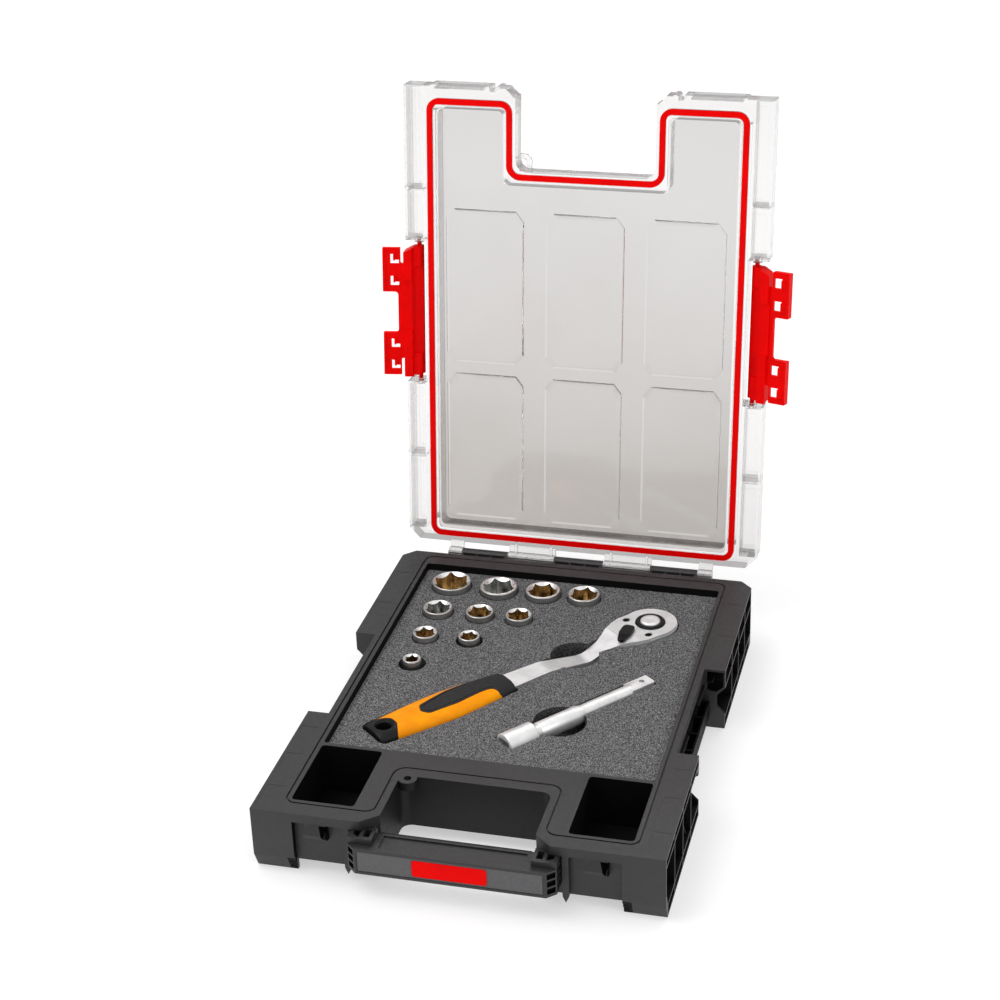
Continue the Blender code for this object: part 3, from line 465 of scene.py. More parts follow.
def steel(name, colour, rough, grain=(1, 1, 1), scale=900.0, depth=0.004, tint=None, spin=0,
          metal=1.0):
    """Plated or bare steel with fine drawn or turned lines, soft blotches and small scratches."""
    f = Finish(name, colour, rough, metal)
    lines = f.noise(scale, 3.0, 0.7, f.mapped(grain, (0, 0, spin)))
    blot = f.noise(90.0, 4.0, 0.6)
    dark = tint or tuple(v * 0.86 for v in colour)
    f.to("Base Color", f.ramp(blot, (0.32, dark), (0.62, colour)))
    f.to("Roughness", f.math("ADD", f.spread(lines, rough - 0.05, rough + 0.07),
                             f.spread(blot, -0.02, 0.04)))
    f.bump(lines, depth)
    marks = f.noise(160.0, 5.0, 0.8, f.mapped((1, 0.03, 1), (12, 20, spin + 40)))
    f.bump(marks, depth * 0.5, 0.4)
    return f.material


def clear_finish(name, tint, alpha, low=None):
    """Clear plastic, a little cloudy, with painted shade: its colour darkens from tint to low down the
    standing lid.
    """
    f = Finish(name, tint, 0.06, IOR=1.4, Transmission_Weight=1.0, Alpha=alpha)
    split = f.add("SeparateXYZ", Vector=f.place)
    # rise: painted shade, the lid lighter towards its top
    rise = f.spread(split.outputs["Z"], -0.12, 0.82, 0.12, 0.42)
    cloud_and_shade = f.math("MULTIPLY_ADD", f.noise(9.0, 3.0, 0.5), 0.35, rise)
    f.to("Base Color", f.ramp(cloud_and_shade, (0.1, low or tuple(v * 0.965 for v in tint)), (0.9, tint)))
    f.to("Roughness", f.spread(f.noise(60.0, 4.0, 0.6), 0.03, 0.1))
    f.bump(f.noise(28.0, 2.0), 0.1, 0.4)
    f.bump(f.noise(900.0, 2.0), 0.003, 0.4)
    return f.material


def orange_finish():
    f = Finish("orange_grip", (0.95, 0.33, 0.0), 0.5, Specular_IOR_Level=0.12)
    tone = f.noise(70.0, 3.0)
    f.to("Base Color", f.ramp(tone, (0.3, (0.88, 0.27, 0.0)), (0.7, (1.0, 0.35, 0.0))))
    f.to("Roughness", f.spread(f.noise(300.0, 4.0), 0.42, 0.58))
    f.bump(f.cells(260.0), 0.06, 0.4)
    f.bump(f.noise(1600.0, 2.0), 0.012)
    return f.material


def red_finish(name, rough, dark, light):
    f = Finish(name, light, rough, Specular_IOR_Level=0.05)
    f.to("Base Color", f.ramp(f.noise(55.0, 3.0, 0.6), (0.3, dark), (0.7, light)))
    f.to("Roughness", f.spread(f.noise(240.0, 4.0, 0.65), rough - 0.08, rough + 0.08))
    f.bump(f.noise(1100.0, 2.0), 0.01)
    return f.material


def label_finish():
    f = Finish("label_plate", (0.1, 0.1, 0.104), 0.55, Specular_IOR_Level=0.35)
    lines = f.waves(560.0, 1.2)
    f.to("Base Color", f.blend(f.noise(500.0, 3.0), (0.075, 0.074, 0.078), (0.125, 0.124, 0.128)))
    f.bump(lines, 0.06, 0.7)
    f.bump(f.noise(1800.0, 3.0), 0.05, 0.7)
    return f.material


M = {
    "charcoal": moulded("charcoal_plastic", (0.011, 0.0105, 0.0115), (0.019, 0.0182, 0.0195), 0.46),
    "black": moulded("black_plastic", (0.0025, 0.0025, 0.0028), (0.006, 0.006, 0.0064), 0.42,
                     Specular_IOR_Level=0.2),
    "strip": moulded("grip_strip", (0.010, 0.010, 0.011), (0.017, 0.017, 0.018), 0.6, 0.04,
                     Specular_IOR_Level=0.3),
    # pit: the charcoal darkened, painted shade for the insides of bins, cavity, wing cells and slots
    "pit": moulded("shaded_plastic", (0.0015, 0.0015, 0.0017), (0.0032, 0.0031, 0.0034), 0.6,
                   Specular_IOR_Level=0.12),
    # recess: the charcoal darkened, painted shade for the front recess
    "recess": moulded("recess_painted_shade", (0.004, 0.004, 0.0043), (0.008, 0.0078, 0.0083), 0.5,
                      Specular_IOR_Level=0.3),
    "clear": clear_finish("clear_plastic", (0.82, 0.81, 0.805), 0.85),
    # panel and edge: darker copies of the clear plastic, painted shade on the dished panel and on the
    # side faces
    "panel": clear_finish("clear_panel_painted_shade", (0.645, 0.632, 0.626), 0.95, (0.465, 0.44, 0.421)),
    "edge": clear_finish("clear_edge_painted_shade", (0.66, 0.65, 0.645), 0.9),
    "rubber": red_finish("red_rubber", 0.5, (0.78, 0.0, 0.0), (0.9, 0.0, 0.0)),
    "red": red_finish("red_plastic", 0.38, (0.78, 0.0, 0.0), (0.92, 0.0, 0.0)),
    "label": label_finish(),
    "foam": foam_finish("foam", 1.0),
    # the same foam at half brightness: painted shade for the pocket walls
    "foam_painted_shade": foam_finish("foam_walls_painted_shade", 0.5),
    "chrome": steel("satin_chrome", (0.50, 0.495, 0.48), 0.3, (0.04, 0.04, 1), depth=0.002),
    # bright: chrome much lighter than the sides, a painted highlight on the sockets' up-facing faces
    "bright": steel("chrome_painted_highlight", (0.93, 0.93, 0.92), 0.24, depth=0.0002),
    "drawn": steel("drawn_chrome", (0.94, 0.94, 0.935), 0.3, (0.02, 1, 1), 600.0, 0.005, spin=50.4,
                   metal=0.65),
    "bronze": steel("bore_bronze", (0.86, 0.72, 0.50), 0.2, (1, 1, 0.1), tint=(0.36, 0.27, 0.15)),
    "bore": steel("bore_steel", (0.72, 0.72, 0.71), 0.2, (1, 1, 0.1), tint=(0.42, 0.42, 0.41)),
    "forged": steel("forged_satin", (0.95, 0.955, 0.965), 0.34, (0.1, 1, 1), 600.0, spin=48.9,
                    metal=0.7),
    "plate": steel("satin_plate", (0.93, 0.935, 0.945), 0.38, (0.2, 1, 1), 600.0, spin=48.9,
                   metal=0.75),
    "steel": steel("hardened_steel", (0.26, 0.26, 0.265), 0.38),
    "orange": orange_finish(),
}


# ---------------------------------------------------------------- case

END, SIDE, RIM = 209.7, 161.0, 50.0
TUB_FRONT, TUB_REAR, TUB_SIDE = -203.5, 206.0, 137.5
RECESS, RECESS_REAR = 60.5, -143.4
WING_FRONT_END, WING_REAR_START, CORNER = -70.2, 57.1, 10.3
CAVITY = (-134.0, -111.6, 134.0, 188.5)
BIN = (83.5, -191.5, 133.8, -115.5)
HANDLE_FRONT = -225.5
BASE_KNUCKLES = ((-109.0, -66.5), (-22.5, 22.5), (66.5, 109.0))
LID_KNUCKLES = ((-122.0, -109.5), (-66.0, -23.0), (23.0, 66.0), (109.5, 122.0))
LATCH_FRONT, LATCH_BACK = -67.0, 54.5
LATCH_HOOKS = ((-64.0, -24.0), (13.5, 53.0))
LATCH_PINS = (LATCH_FRONT - 4.6, LATCH_BACK + 4.1)
LATCH_X, LATCH_Z = 150.5, 58.0
HINGE = (HINGE_Y, HINGE_Z)
HINGE_BORE = (HINGE, -125.0, 125.0, 1.8, "X")
EYE = (-54.0, -146.5)
FOOT = -UP


def seal_path(shift_out):
    side, notch = 137.9 + shift_out, 66.8 - shift_out
    rear, front, inner = 202.1 + shift_out, -195.4 - shift_out, -132.7 - shift_out
    return rounded(mirrored([
        (notch, inner, 10 - shift_out), (notch, front, 8 + shift_out),
        (side, front, 8 + shift_out), (side, rear, 8 + shift_out),
    ]), 8)


def ring(width, low, high, middle=0.0):
    return prism(seal_path(middle + width / 2), low, high, holes=[seal_path(middle - width / 2)])


def tub_outline(grow, front, rear):
    x = 74.0 - (END + front)
    return rounded(mirrored([
        (RECESS, RECESS_REAR, 8.0), (RECESS, -198.0, 2.5), (x, front, 2.5),
        (TUB_SIDE + grow, front, 0.0), (TUB_SIDE + grow, rear, 0.0),
    ]))


def wing_block(sign, front):
    """One hollow block beside the tub: plates, ribs, notched end and chamfered foot."""
    inner, outer = sign * 139.6, sign * (SIDE + 3)
    if front:
        solid = prism([(-END, RIM), (-END, 8.0), (-END + 6.8, FOOT), (WING_FRONT_END, FOOT),
                       (WING_FRONT_END, RIM)], sign * 134.0, sign * SIDE, "X")
        start, stop, shelf = -END + 2.2, WING_FRONT_END - 2.0, 41.4
    else:
        plan = [(134.0, WING_REAR_START), (SIDE, WING_REAR_START), (SIDE, END - CORNER),
                (SIDE - CORNER, END), (134.0, END)]
        solid = prism(flip(plan, sign), FOOT, RIM)
        start, stop, shelf = WING_REAR_START + 2.0, END - CORNER - 1.5, 33.2
    tools = []
    count, rib = 4, 1.6
    pitch = (stop - start + rib) / count
    edge = 6.5 if front else 0.0
    for k in range(count):
        y0, y1 = start + k * pitch, start + (k + 1) * pitch - rib
        deep = inner if k in (0, 3) else sign * 143.0
        cell = [(y0, shelf - 0.8), (y0, 5.0), (y1, 5.0), (y1, shelf - 0.8)]
        if front and k == 0:
            cell = [(y0, shelf - 0.8), (y0, 17.0), (y0 + 5.0, 5.0), (y1, 5.0), (y1, shelf - 0.8)]
        if front and k == 3:
            cell = [(y0, shelf - 0.8), (y0, 5.0), (y1, 5.0), (y1, shelf - 10.0),
                    (y1 - 7.0, shelf - 0.8)]
        a, b = (y0 + edge if k == 0 else y0), (y1 - (8.0 if not front and k == 3 else 0.0))
        tools += [prism(cell, deep, outer, "X"), box((inner, y0, shelf + 0.9), (outer, y1, RIM - 1.9)),
                  box((inner, a, -4.6), (outer, b, 3.2))]
    end = WING_FRONT_END if front else WING_REAR_START
    notch = ((163.0, 35.4), (154.0, 25.6), (154.0, 15.4), (163.0, 6.2))
    tools.append(prism(flip(notch, sign), end - 3.0, end + 3.0, "Y"))
    if not front:
        tools.append(prism([(END + 2, 12.0), (END - 7.4, -8.5), (END + 2, -8.5)],
                           sign * 130.0, sign * 170.0, "X"))
        if sign > 0:
            tools.append(prism([(145.4, 48.0), (159.6, 48.0), (159.6, 34.0), (153.2, 28.6),
                                (147.0, 29.5), (145.4, 31.0)], end - 1, end + 13.0, "Y"))
    block = cut(solid, *tools)
    mid = start + pitch * 2
    slope = [(mid - 1.0, shelf - 0.5), (mid + 0.6, shelf - 0.5), (mid + 27.0, 4.4), (mid + 25.4, 4.4)]
    ribs = [prism(slope, sign * 140.0, sign * 158.5, "X")]
    if not front:
        ribs.append(box((sign * 143.0, end + 1.0, 36.2), (sign * 150.0, end + 14.0, 37.8)))
    return joined(block, *ribs)


def wing_steps(sign):
    """Very shallow steps across the wing tops, where the plates thin over the ribs."""
    spans = (-203.0, -176.0), (-158.0, -131.0), (-113.0, -92.0), (86.0, 113.0), (140.0, 168.0)
    return [box((sign * 144.5, y0, RIM - 0.16), (sign * (SIDE - 2.2), y1, RIM + 1))
            for y0, y1 in spans]


def case_base():
    body = prism(tub_outline(0.0, TUB_FRONT, TUB_REAR), 4.0, RIM)
    add = [prism(tub_outline(6.0, -END, END), 42.0, RIM)]
    for sign in (-1, 1):
        add += [wing_block(sign, True), wing_block(sign, False)]
        inner = [(-END, RIM - 1), (-END, 8.0), (-END + 6.8, FOOT), (-200.0, FOOT), (-200.0, RIM - 1)]
        add.append(prism(inner, sign * 128.0, sign * 135.0, "X"))
        wedge = [(TUB_FRONT + 1, 43.5), (-209.2, 43.5), (-214.6, 35.0), (-214.4, 33.4),
                 (-209.0, 28.0), (TUB_FRONT + 1, 26.0)]
        under = [(TUB_FRONT - 1, 41.0), (-208.8, 41.0), (-213.0, 34.6), (TUB_FRONT - 1, 34.6)]
        add.append(cut(prism(wedge, sign * 100.5, sign * 117.5, "X"),
                       prism(under, sign * 99.0, sign * 101.8, "X"),
                       prism(under, sign * 116.2, sign * 119.0, "X")))
        blade = [(82.6, 43.0), (82.6, 5.0), (85.1, -0.5), (87.6, 5.0), (87.6, 43.0)]
        add.append(prism(flip(blade, sign), TUB_FRONT + 1, -209.0, "Y"))
        for start, stop in LATCH_HOOKS:
            lip = ((136.0, 37.0), (144.6, 37.0), (145.8, 38.4), (145.8, 39.6), (136.0, 39.6))
            add.append(prism(flip(lip, sign), start + 4, stop - 4, "Y"))
            gusset = flip(((137.0, 31.0), (143.5, 37.5), (137.0, 37.5)), sign)
            add += [prism(gusset, y, y + 1.6, "Y")
                    for y in (start + 8, (start + stop) / 2, stop - 9)]
        add.append(cut(box((sign * 136.5, WING_FRONT_END - 1, 4.0),
                           (sign * 148.0, WING_REAR_START + 1, 19.0)),
                       *[box((sign * 139.0, y, 6.0), (sign * 146.4, y + 22.5, 20.0))
                         for y in (-67.5, -42.5, -17.5, 7.5, 32.5)]))
    outline = [
        (-74.0, HANDLE_FRONT), (74.0, HANDLE_FRONT), (81.0, HANDLE_FRONT + 6.5),
        (81.0, TUB_FRONT + 1), (61.5, TUB_FRONT + 1), (57.5, -200.5), (-57.5, -200.5),
        (-61.5, TUB_FRONT + 1), (-81.0, TUB_FRONT + 1), (-81.0, HANDLE_FRONT + 6.5),
    ]
    handle = prism(outline, 14.0, 36.5)
    arms = [box((sign * 61.5, -219.0, 30.0), (sign * 81.0, TUB_FRONT + 1, 41.5)) for sign in (-1, 1)]
    handle = joined(handle, *arms)
    wells = [box((-72.0, HANDLE_FRONT - 2, 16.3), (72.0, HANDLE_FRONT + 1.2, 34.2)),
             prism([(-220.5, 37.5), (-204.5, 37.5), (-204.5, 35.2), (-220.5, 35.2)], -56.0, 56.0, "X")]
    for sign in (-1, 1):
        for plan in (((64.5, -215.5), (69.4, -215.5), (69.4, -206.0), (64.5, -206.0)),
                     ((72.4, -216.5), (77.6, -213.5), (77.6, -206.0), (72.4, -206.0))):
            wells.append(prism(flip(plan, sign)[::sign], 18.0, 45.0))
        for level in (16.4, 23.0, 29.6):
            slot = [(-218.0, level), (-207.5, level + 1.4), (-207.5, level + 5.8),
                    (-218.0, level + 4.4)]
            wells.append(prism(slot, sign * 79.2, sign * 84.0, "X"))
            window = [(75.5, -225.5), (80.9, -220.5), (78.2, -217.6), (72.8, -222.5)]
            wells.append(prism(flip(window, sign)[::sign], level + 0.2, level + 5.2))
    add.append(cut(handle, *wells))
    for x0, x1 in BASE_KNUCKLES:
        knuckle = joined(rod(HINGE, x0, x1, 5.0, "X", 40),
                         box((x0, TUB_REAR - 1, 40.5), (x1, HINGE_Y - 2.4, 49.6)))
        wide = (x1 - x0 - 6.0) / 3
        cells = [box((x, TUB_REAR + 4.5, 43.0), (x + wide, HINGE_Y - 4.6, 53.0))
                 for x in (x0 + 2.0, x0 + 3.0 + wide, x0 + 4.0 + 2 * (x1 - x0 - 6.0) / 3)]
        add.append(cut(knuckle, *cells))
    add += [prism(circle(*EYE, 7.5, 40), 43.0, RIM),
            prism(rectangle(-45.0, -30.0, 45.0, 30.0, 4), FOOT, 5.0)]
    solid = joined(body, *add)
    tools = [prism(rectangle(*CAVITY, 2.5), 7.0, 60.0)]
    low, high = 0.0, 47.0
    strip = (RECESS + 3.0, BIN[0] - 3.0)
    tools += [box((-strip[1], -140.0, low), (strip[1], BIN[3] - 0.5, high)),
              box((-131.0, 191.5, low), (131.0, 203.0, high - 2))]
    for sign in (-1, 1):
        x0, x1 = sorted((sign * BIN[0], sign * BIN[2]))
        tools.append(prism(rectangle(x0, BIN[1], x1, BIN[3], 3.0), 7.0, 60.0))
        x0, x1 = sorted((sign * strip[0], sign * strip[1]))
        tools.append(box((x0, TUB_FRONT + 3, low), (x1, -130.0, high)))
        tools += wing_steps(sign)
        tools += [box((sign * 127.0, y0, -4.4), (sign * 132.5, y1, 41.0))
                  for y0, y1 in ((-208.2, -206.6), (-205.9, -203.9))]
        x0 = 117.7 if sign > 0 else -100.3
        tools.append(hull([(x, y, z) for y in (-217.0, -203.9)
                           for x, z in ((x0, 41.8), (x0 - 5.8, 41.8), (x0 - 0.9, 29.0))]))
    tools += [ring(1.5, RIM - 1.6, RIM + 2), rod(EYE, 40.0, 55.0, 3.0), rod(*HINGE_BORE)]
    solid = cut(solid, *tools)

    # Index 1 (pit) is painted shade in the bins, cavity, wing cells, slots beside the blocks, handle
    # window pockets and beside the catch wedges.
    def finish(x, y, z, normal):
        wedge_side, across, x = (117.5 if x > 0 else -100.5), x, abs(x)
        end = abs(y - WING_FRONT_END) < 0.4 or abs(y - WING_REAR_START) < 0.4
        if 5.5 < z < 49.0 and (BIN[0] - 0.3 < x < BIN[2] + 0.3 and BIN[1] - 0.3 < y < BIN[3] + 0.3):
            return 1
        if 5.5 < z < 49.4 and x < 134.2 and CAVITY[1] - 0.2 < y < CAVITY[3] + 0.2:
            return 1
        reach = 209.0 if z > 12.0 else 202.0
        if 139.2 < x < 160.7 and -5.6 < z < 49.0 and abs(y) < reach and not end:
            return 1
        if 126.9 < x < 132.6 and -208.3 < y < -203.7 and -4.6 < z < 41.2:
            return 1
        if 72.5 < x < 80.9 and 16.0 < z < 35.0 and y < -217.4 and 0.68 * x - 0.733 * y < 215.0:
            return 1
        if (wedge_side - 5.7 < across < wedge_side + 0.1 and 28.5 < z < 42.0
                and (y > -204.2 or abs(normal.x) > 0.5) and y < -203.6):
            return 1
        # Index 2 (recess) is painted shade on the front recess's faces.
        if x < 62.0 and -203.0 < y < -142.0 and z < 49.0:
            return 2
        return 0

    sorted_faces(solid, finish)
    piece("case_moulding", solid, M["charcoal"], "case", ["case_base"],
          bevel=0.35, angle=35.0, more=(M["pit"], M["recess"]), split=True)


def handle_label():
    plate = box((-71.7, HANDLE_FRONT + 0.2, 16.6), (71.7, HANDLE_FRONT + 0.9, 33.9))
    plate = cut(plate, box((-29.3, HANDLE_FRONT - 2, 17.7), (29.3, HANDLE_FRONT + 0.5, 32.8)))
    piece("label_plate", plate, M["label"], "case", ["handle_label_plate"], bevel=0.2)
    badge = prism(rectangle(-29.0, 18.0, 29.0, 32.5, 2.2), HANDLE_FRONT + 0.02, HANDLE_FRONT + 0.4, "Y")
    piece("badge", badge, M["red"], "case", ["handle_badge"], bevel=0.15)


# ---------------------------------------------------------------- lid

def lid_outline(trim=0.0):
    side, wing = 143.3 - trim, 161.4 - trim
    return rounded(mirrored([
        (61.3 + trim, -137.0 + trim, 9.0), (61.3 + trim, -END + trim, 7.0), (wing, -END + trim, 0.0),
        (wing, -71.6 - trim, 0.0), (side, -71.6 - trim, 0.0), (side, 58.6 + trim, 0.0),
        (wing, 58.6 + trim, 0.0), (wing, END - CORNER, 0.0), (wing - CORNER, END - trim, 0.0),
    ]))


def window(x, y0, y1, grow=0.0):
    w = 35.0 + grow
    a, b, c = y0 - grow, y1 + grow, 9.0
    return [(x - w + 7, a), (x + w - 7, a), (x + w, a + c), (x + w, b - c), (x + w - 7, b),
            (x - w + 7, b), (x - w, b - c), (x - w, a + c)]


def lid_cover():
    """The clear moulding: a thin skirt, a dished panel with raised windows, ribbed wings."""
    body = prism(lid_outline(), 50.4, 72.0)
    pockets = []
    for sign in (-1, 1):
        for y0, y1 in ((-207.4, -118.4), (-116.4, -73.4), (60.4, 128.0), (130.0, 199.0)):
            pockets += [box((sign * 145.3, y0, 52.0), (sign * 159.2, y1, 75.0)),
                        box((sign * 147.5, y0 + 4.0, 51.4), (sign * 156.5, y1 - 4.0, 53.0))]
        pockets.append(box((sign * 133.4, -187.0, 57.6), (sign * 141.4, 190.0, 75.0)))
        for x0, x1 in ((137.5, 170.0), (84.0, 78.5), (75.0, 55.0)):
            pockets.append(box((sign * x0, -211.0, 45.0), (sign * x1, -208.5, 75.0)))
        pockets += [box((sign * 84.4, -211.0, 45.0), (sign * 79.6, -205.2, 75.0)),
                    box((sign * 90.0, -207.8, 53.5), (sign * 134.0, -206.0, 75.0))]
    inner = rounded(mirrored([
        (73.4, -124.4, 7.0), (73.4, -188.6, 5.0), (131.8, -188.6, 5.0), (131.8, 195.4, 5.0),
    ]))
    pockets.append(prism(inner, 55.6, 75.0))
    inside = rounded(mirrored([
        (71.8, -127.5, 6.0), (71.8, -190.0, 4.0), (132.8, -190.0, 4.0), (132.8, 197.0, 4.0),
    ]))
    pockets.append(prism(inside, 47.0, 53.0))
    pockets.append(ring(5.8, 48.0, 53.0))
    add = []
    for x in (-89.5, 0.0, 89.0):
        for y0, y1 in ((-101.5, 38.0), (48.3, 185.0)):
            pockets.append(hull([(*p, z) for grow, z in ((3.4, 52.0), (-3.4, 54.0))
                                 for p in window(x, y0, y1, grow)]))
            add.append(hull([(*p, z) for grow, z in ((0.9, 55.0), (-1.2, 56.8))
                             for p in window(x, y0, y1, grow)]))
    step = [(69.2, -213.0), (69.2, -207.7), (62.9, -201.5), (58.0, -201.5), (58.0, -213.0)]
    pockets += [prism(flip(step, s)[::s], 40.0, 80.0) for s in (-1, 1)]
    eye = joined(prism(circle(*EYE, 7.5, 40), 50.4, 53.4),
                 box((-66.0, -150.0, 50.4), (-54.0, -139.0, 53.4)),
                 box((-56.0, -146.0, 50.4), (-46.8, -135.0, 53.4)))
    for x0, x1 in LID_KNUCKLES:
        add += [rod(HINGE, x0, x1, 5.0, "X", 40), box((x0, END - 3, 50.8), (x1, HINGE_Y, 54.5)),
                box((x0, HINGE_Y - 4.5, HINGE_Z), (x1, HINGE_Y + 4.5, 54.5))]
        if x1 - x0 > 20:
            add += [box((x, END - 2, 54.0), (x + 2, HINGE_Y + 2, 58.0)) for x in (x0 + 4, x1 - 6)]
    for sign in (-1, 1):
        for y in LATCH_PINS:
            add.append(rod((sign * LATCH_X, LATCH_Z), y - 2, y + 2.5, 4.5, "Y", 28))
    tools = [rod(EYE, 47.0, 57.0, 3.0), rod(*HINGE_BORE)]
    for sign in (-1, 1):
        for y in LATCH_PINS:
            tools.append(rod((sign * LATCH_X, LATCH_Z), y - 4, y + 4, 2.3, "Y", 20))
    solid = cut(body, *pockets)
    solid = joined(solid, eye, *add)
    solid = cut(solid, *tools)
    sliced(solid, ("X", -132.9), ("X", 132.9), ("X", -72.2), ("X", 72.2), ("Y", -190.1),
           ("Y", -126.0), ("Y", 197.1))

    # Side faces take the edge copy and the panel's faces the panel copy, both darkened as painted
    # shade.
    def finish(x, y, z, normal):
        if abs(normal.z) < 0.8:
            return 2
        inside = abs(x) < 132.9 and -190.1 < y < 197.1 and (y > -126.0 or abs(x) > 72.2)
        return 1 if inside and 52.0 < z < 57.5 else 0

    sorted_faces(solid, finish)
    piece("lid_moulding", solid, M["clear"], "lid", ["lid_cover"], LID, bevel=0.0,
          flat=0.0, more=(M["panel"], M["edge"]), shade=False)


def lid_gasket():
    seal = ring(5.1, 50.2, 52.9)
    piece("gasket", seal, M["rubber"], "lid", ["lid_gasket"], LID, bevel=1.1, steps=4)


def latch(name, sign, opened):
    """A side latch, written as it hangs from its pivot, then swung open about it."""
    mid = (LATCH_FRONT + LATCH_BACK) / 2
    y0, y1 = LATCH_FRONT - mid, LATCH_BACK - mid
    s = sign

    def slab(x0, x1, a, b, z0, z1):
        return box((s * x0, a, z0), (s * x1, b, z1))

    body = rod((0.0, 0.0), y0 + 1.0, y1 - 3.0, 4.2, "Y", 40)
    profile = [(-3.9, -1.0), (-3.9, -13.6), (3.4, -13.6), (5.6, -11.8), (5.6, -6.0), (4.2, -1.0)]
    add = [rod((0.0, 0.0), y0 - 4.5, y1 + 4.5, 2.0, "Y", 24),
           prism(flip(profile, s)[::s], y0 + 1.5, y1 - 1.5, "Y")]
    pad = flip(((-3.0, -5.6), (-6.6, -6.8), (-6.6, -13.6), (-5.8, -14.4), (-3.0, -14.4)), s)[::s]
    add += [prism(pad, a, b, "Y") for a, b in ((y0 + 1.5, y0 + 32.0), (y0 + 77.5, y1 - 0.4))]
    add.append(slab(-5.0, 2.0, y0 + 31.0, y0 + 78.0, -6.6, -15.6))
    comb = rounded([
        (y0 + 3.0, -33.0, 1.5), (y0 + 43.0, -33.0, 1.5), (y0 + 43.0, -19.4, 3.0),
        (y0 + 80.5, -19.4, 3.0), (y0 + 80.5, -33.0, 1.5), (y1 - 1.5, -33.0, 1.5),
        (y1 - 1.5, -17.0, 1.0), (y1 - 17.0, -17.0, 1.5), (y1 - 17.0, -10.0, 0.0),
        (y0 + 17.0, -10.0, 0.0), (y0 + 17.0, -17.0, 1.5), (y0 + 3.0, -17.0, 1.0),
    ])
    add.append(prism(comb, s * -3.6, s * -0.8, "X"))
    for start, stop in LATCH_HOOKS:
        a, b = start - mid, stop - mid
        add += [slab(-4.4, 2.2, a + 0.4, b - 0.4, -33.0, -30.9),
                slab(-1.4, 1.6, a + 0.3, a + 2.1, -17.2, -32.0),
                slab(-1.4, 1.6, b - 2.1, b - 0.3, -17.2, -32.0)]
        for centre in ((3 * a + b) / 4, (a + 3 * b) / 4):
            if s < 0:
                claw = [(7.2, -21.6), (2.0, -21.6), (2.0, -26.6), (4.0, -26.6)]
                add.append(prism(claw, centre - 4.4, centre + 0.8, "Y"))
            else:
                claw = [(-6.6, -26.4), (-1.4, -26.4), (-1.4, -30.6), (-3.6, -30.6)]
                add.append(prism(claw, centre - 4.0, centre + 4.0, "Y"))
    solid = joined(body, *add)
    tools = [slab(-12.0, -2.4, y0 + 19.0, y1 - 22.0, 5.0, -5.2),
             slab(1.2, 12.0, y0 + 12, y1 - 12, -11.0, -3.5),
             prism([(y0 - 1.0, -15.0), (y0 + 7.0, -15.0), (y0 + 0.8, -3.0), (y0 - 1.0, -3.0)],
                   s * -12.0, s * 12.0, "X")]
    for start, stop in LATCH_HOOKS:
        a, b = start - mid, stop - mid
        for centre in ((3 * a + b) / 4, (a + 3 * b) / 4):
            near, far = centre - 4.4, centre + 4.4
            tools += [slab(-2.6, 8.0, near, far, -26.0, -18.4),
                      slab(-12.0, 8.0, centre + 0.8, far, -26.0, -18.4),
                      slab(-12.0, 8.0, near, far, -26.0, -23.4 if s < 0 else -18.4)]
    solid = cut(solid, *tools)
    place = LID @ shift(s * LATCH_X, mid, LATCH_Z) @ turn(-s * opened, "Y")
    piece(f"{name}_latch_moulding", solid, M["red"], f"{name}_latch", [f"latch_{name}"],
          place, bevel=0.45, steps=3)


# ---------------------------------------------------------------- foam insert

SOCKETS = (
    (27, 35.2, -104.4, 163.0, 48.5), (24, 33.8, -60.6, 162.4, 58.5), (22, 31.2, -20.0, 162.8, 15.3),
    (21, 28.8, 17.2, 163.4, 25.0), (19, 26.2, -103.8, 115.2, 35.0), (18, 24.7, -65.8, 115.6, 16.5),
    (17, 23.6, -30.8, 116.6, 50.0), (15, 21.7, -102.9, 71.6, 55.0), (13, 18.7, -64.1, 73.4, 26.5),
    (10, 16.2, -101.9, 27.6, 42.0),
)
DRIVE_END = 22.0                       # least diameter of a socket's drive end
HEAD_R = 23.5


def head_outline(grow=0.0, nose=24):
    half = [(-153.0, 10.9), (-110.0, 9.4), (-80.0, 7.8), (-64.0, 7.4), (-52.0, 8.6),
            (-44.0, 11.6), (-36.0, 16.2), (-28.0, 20.0), (-19.0, 22.6)]
    arc = [(HEAD_R * math.cos(a), HEAD_R * math.sin(a))
           for a in (math.radians(105 * (1 - k / nose)) for k in range(nose + 1))]
    side = [(x, y + grow) for x, y in half]
    side += [(x + grow * (x > 0), y + grow * (y > 0)) for x, y in arc]
    return [*side, *((x, -y) for x, y in reversed(side[:-1]))]


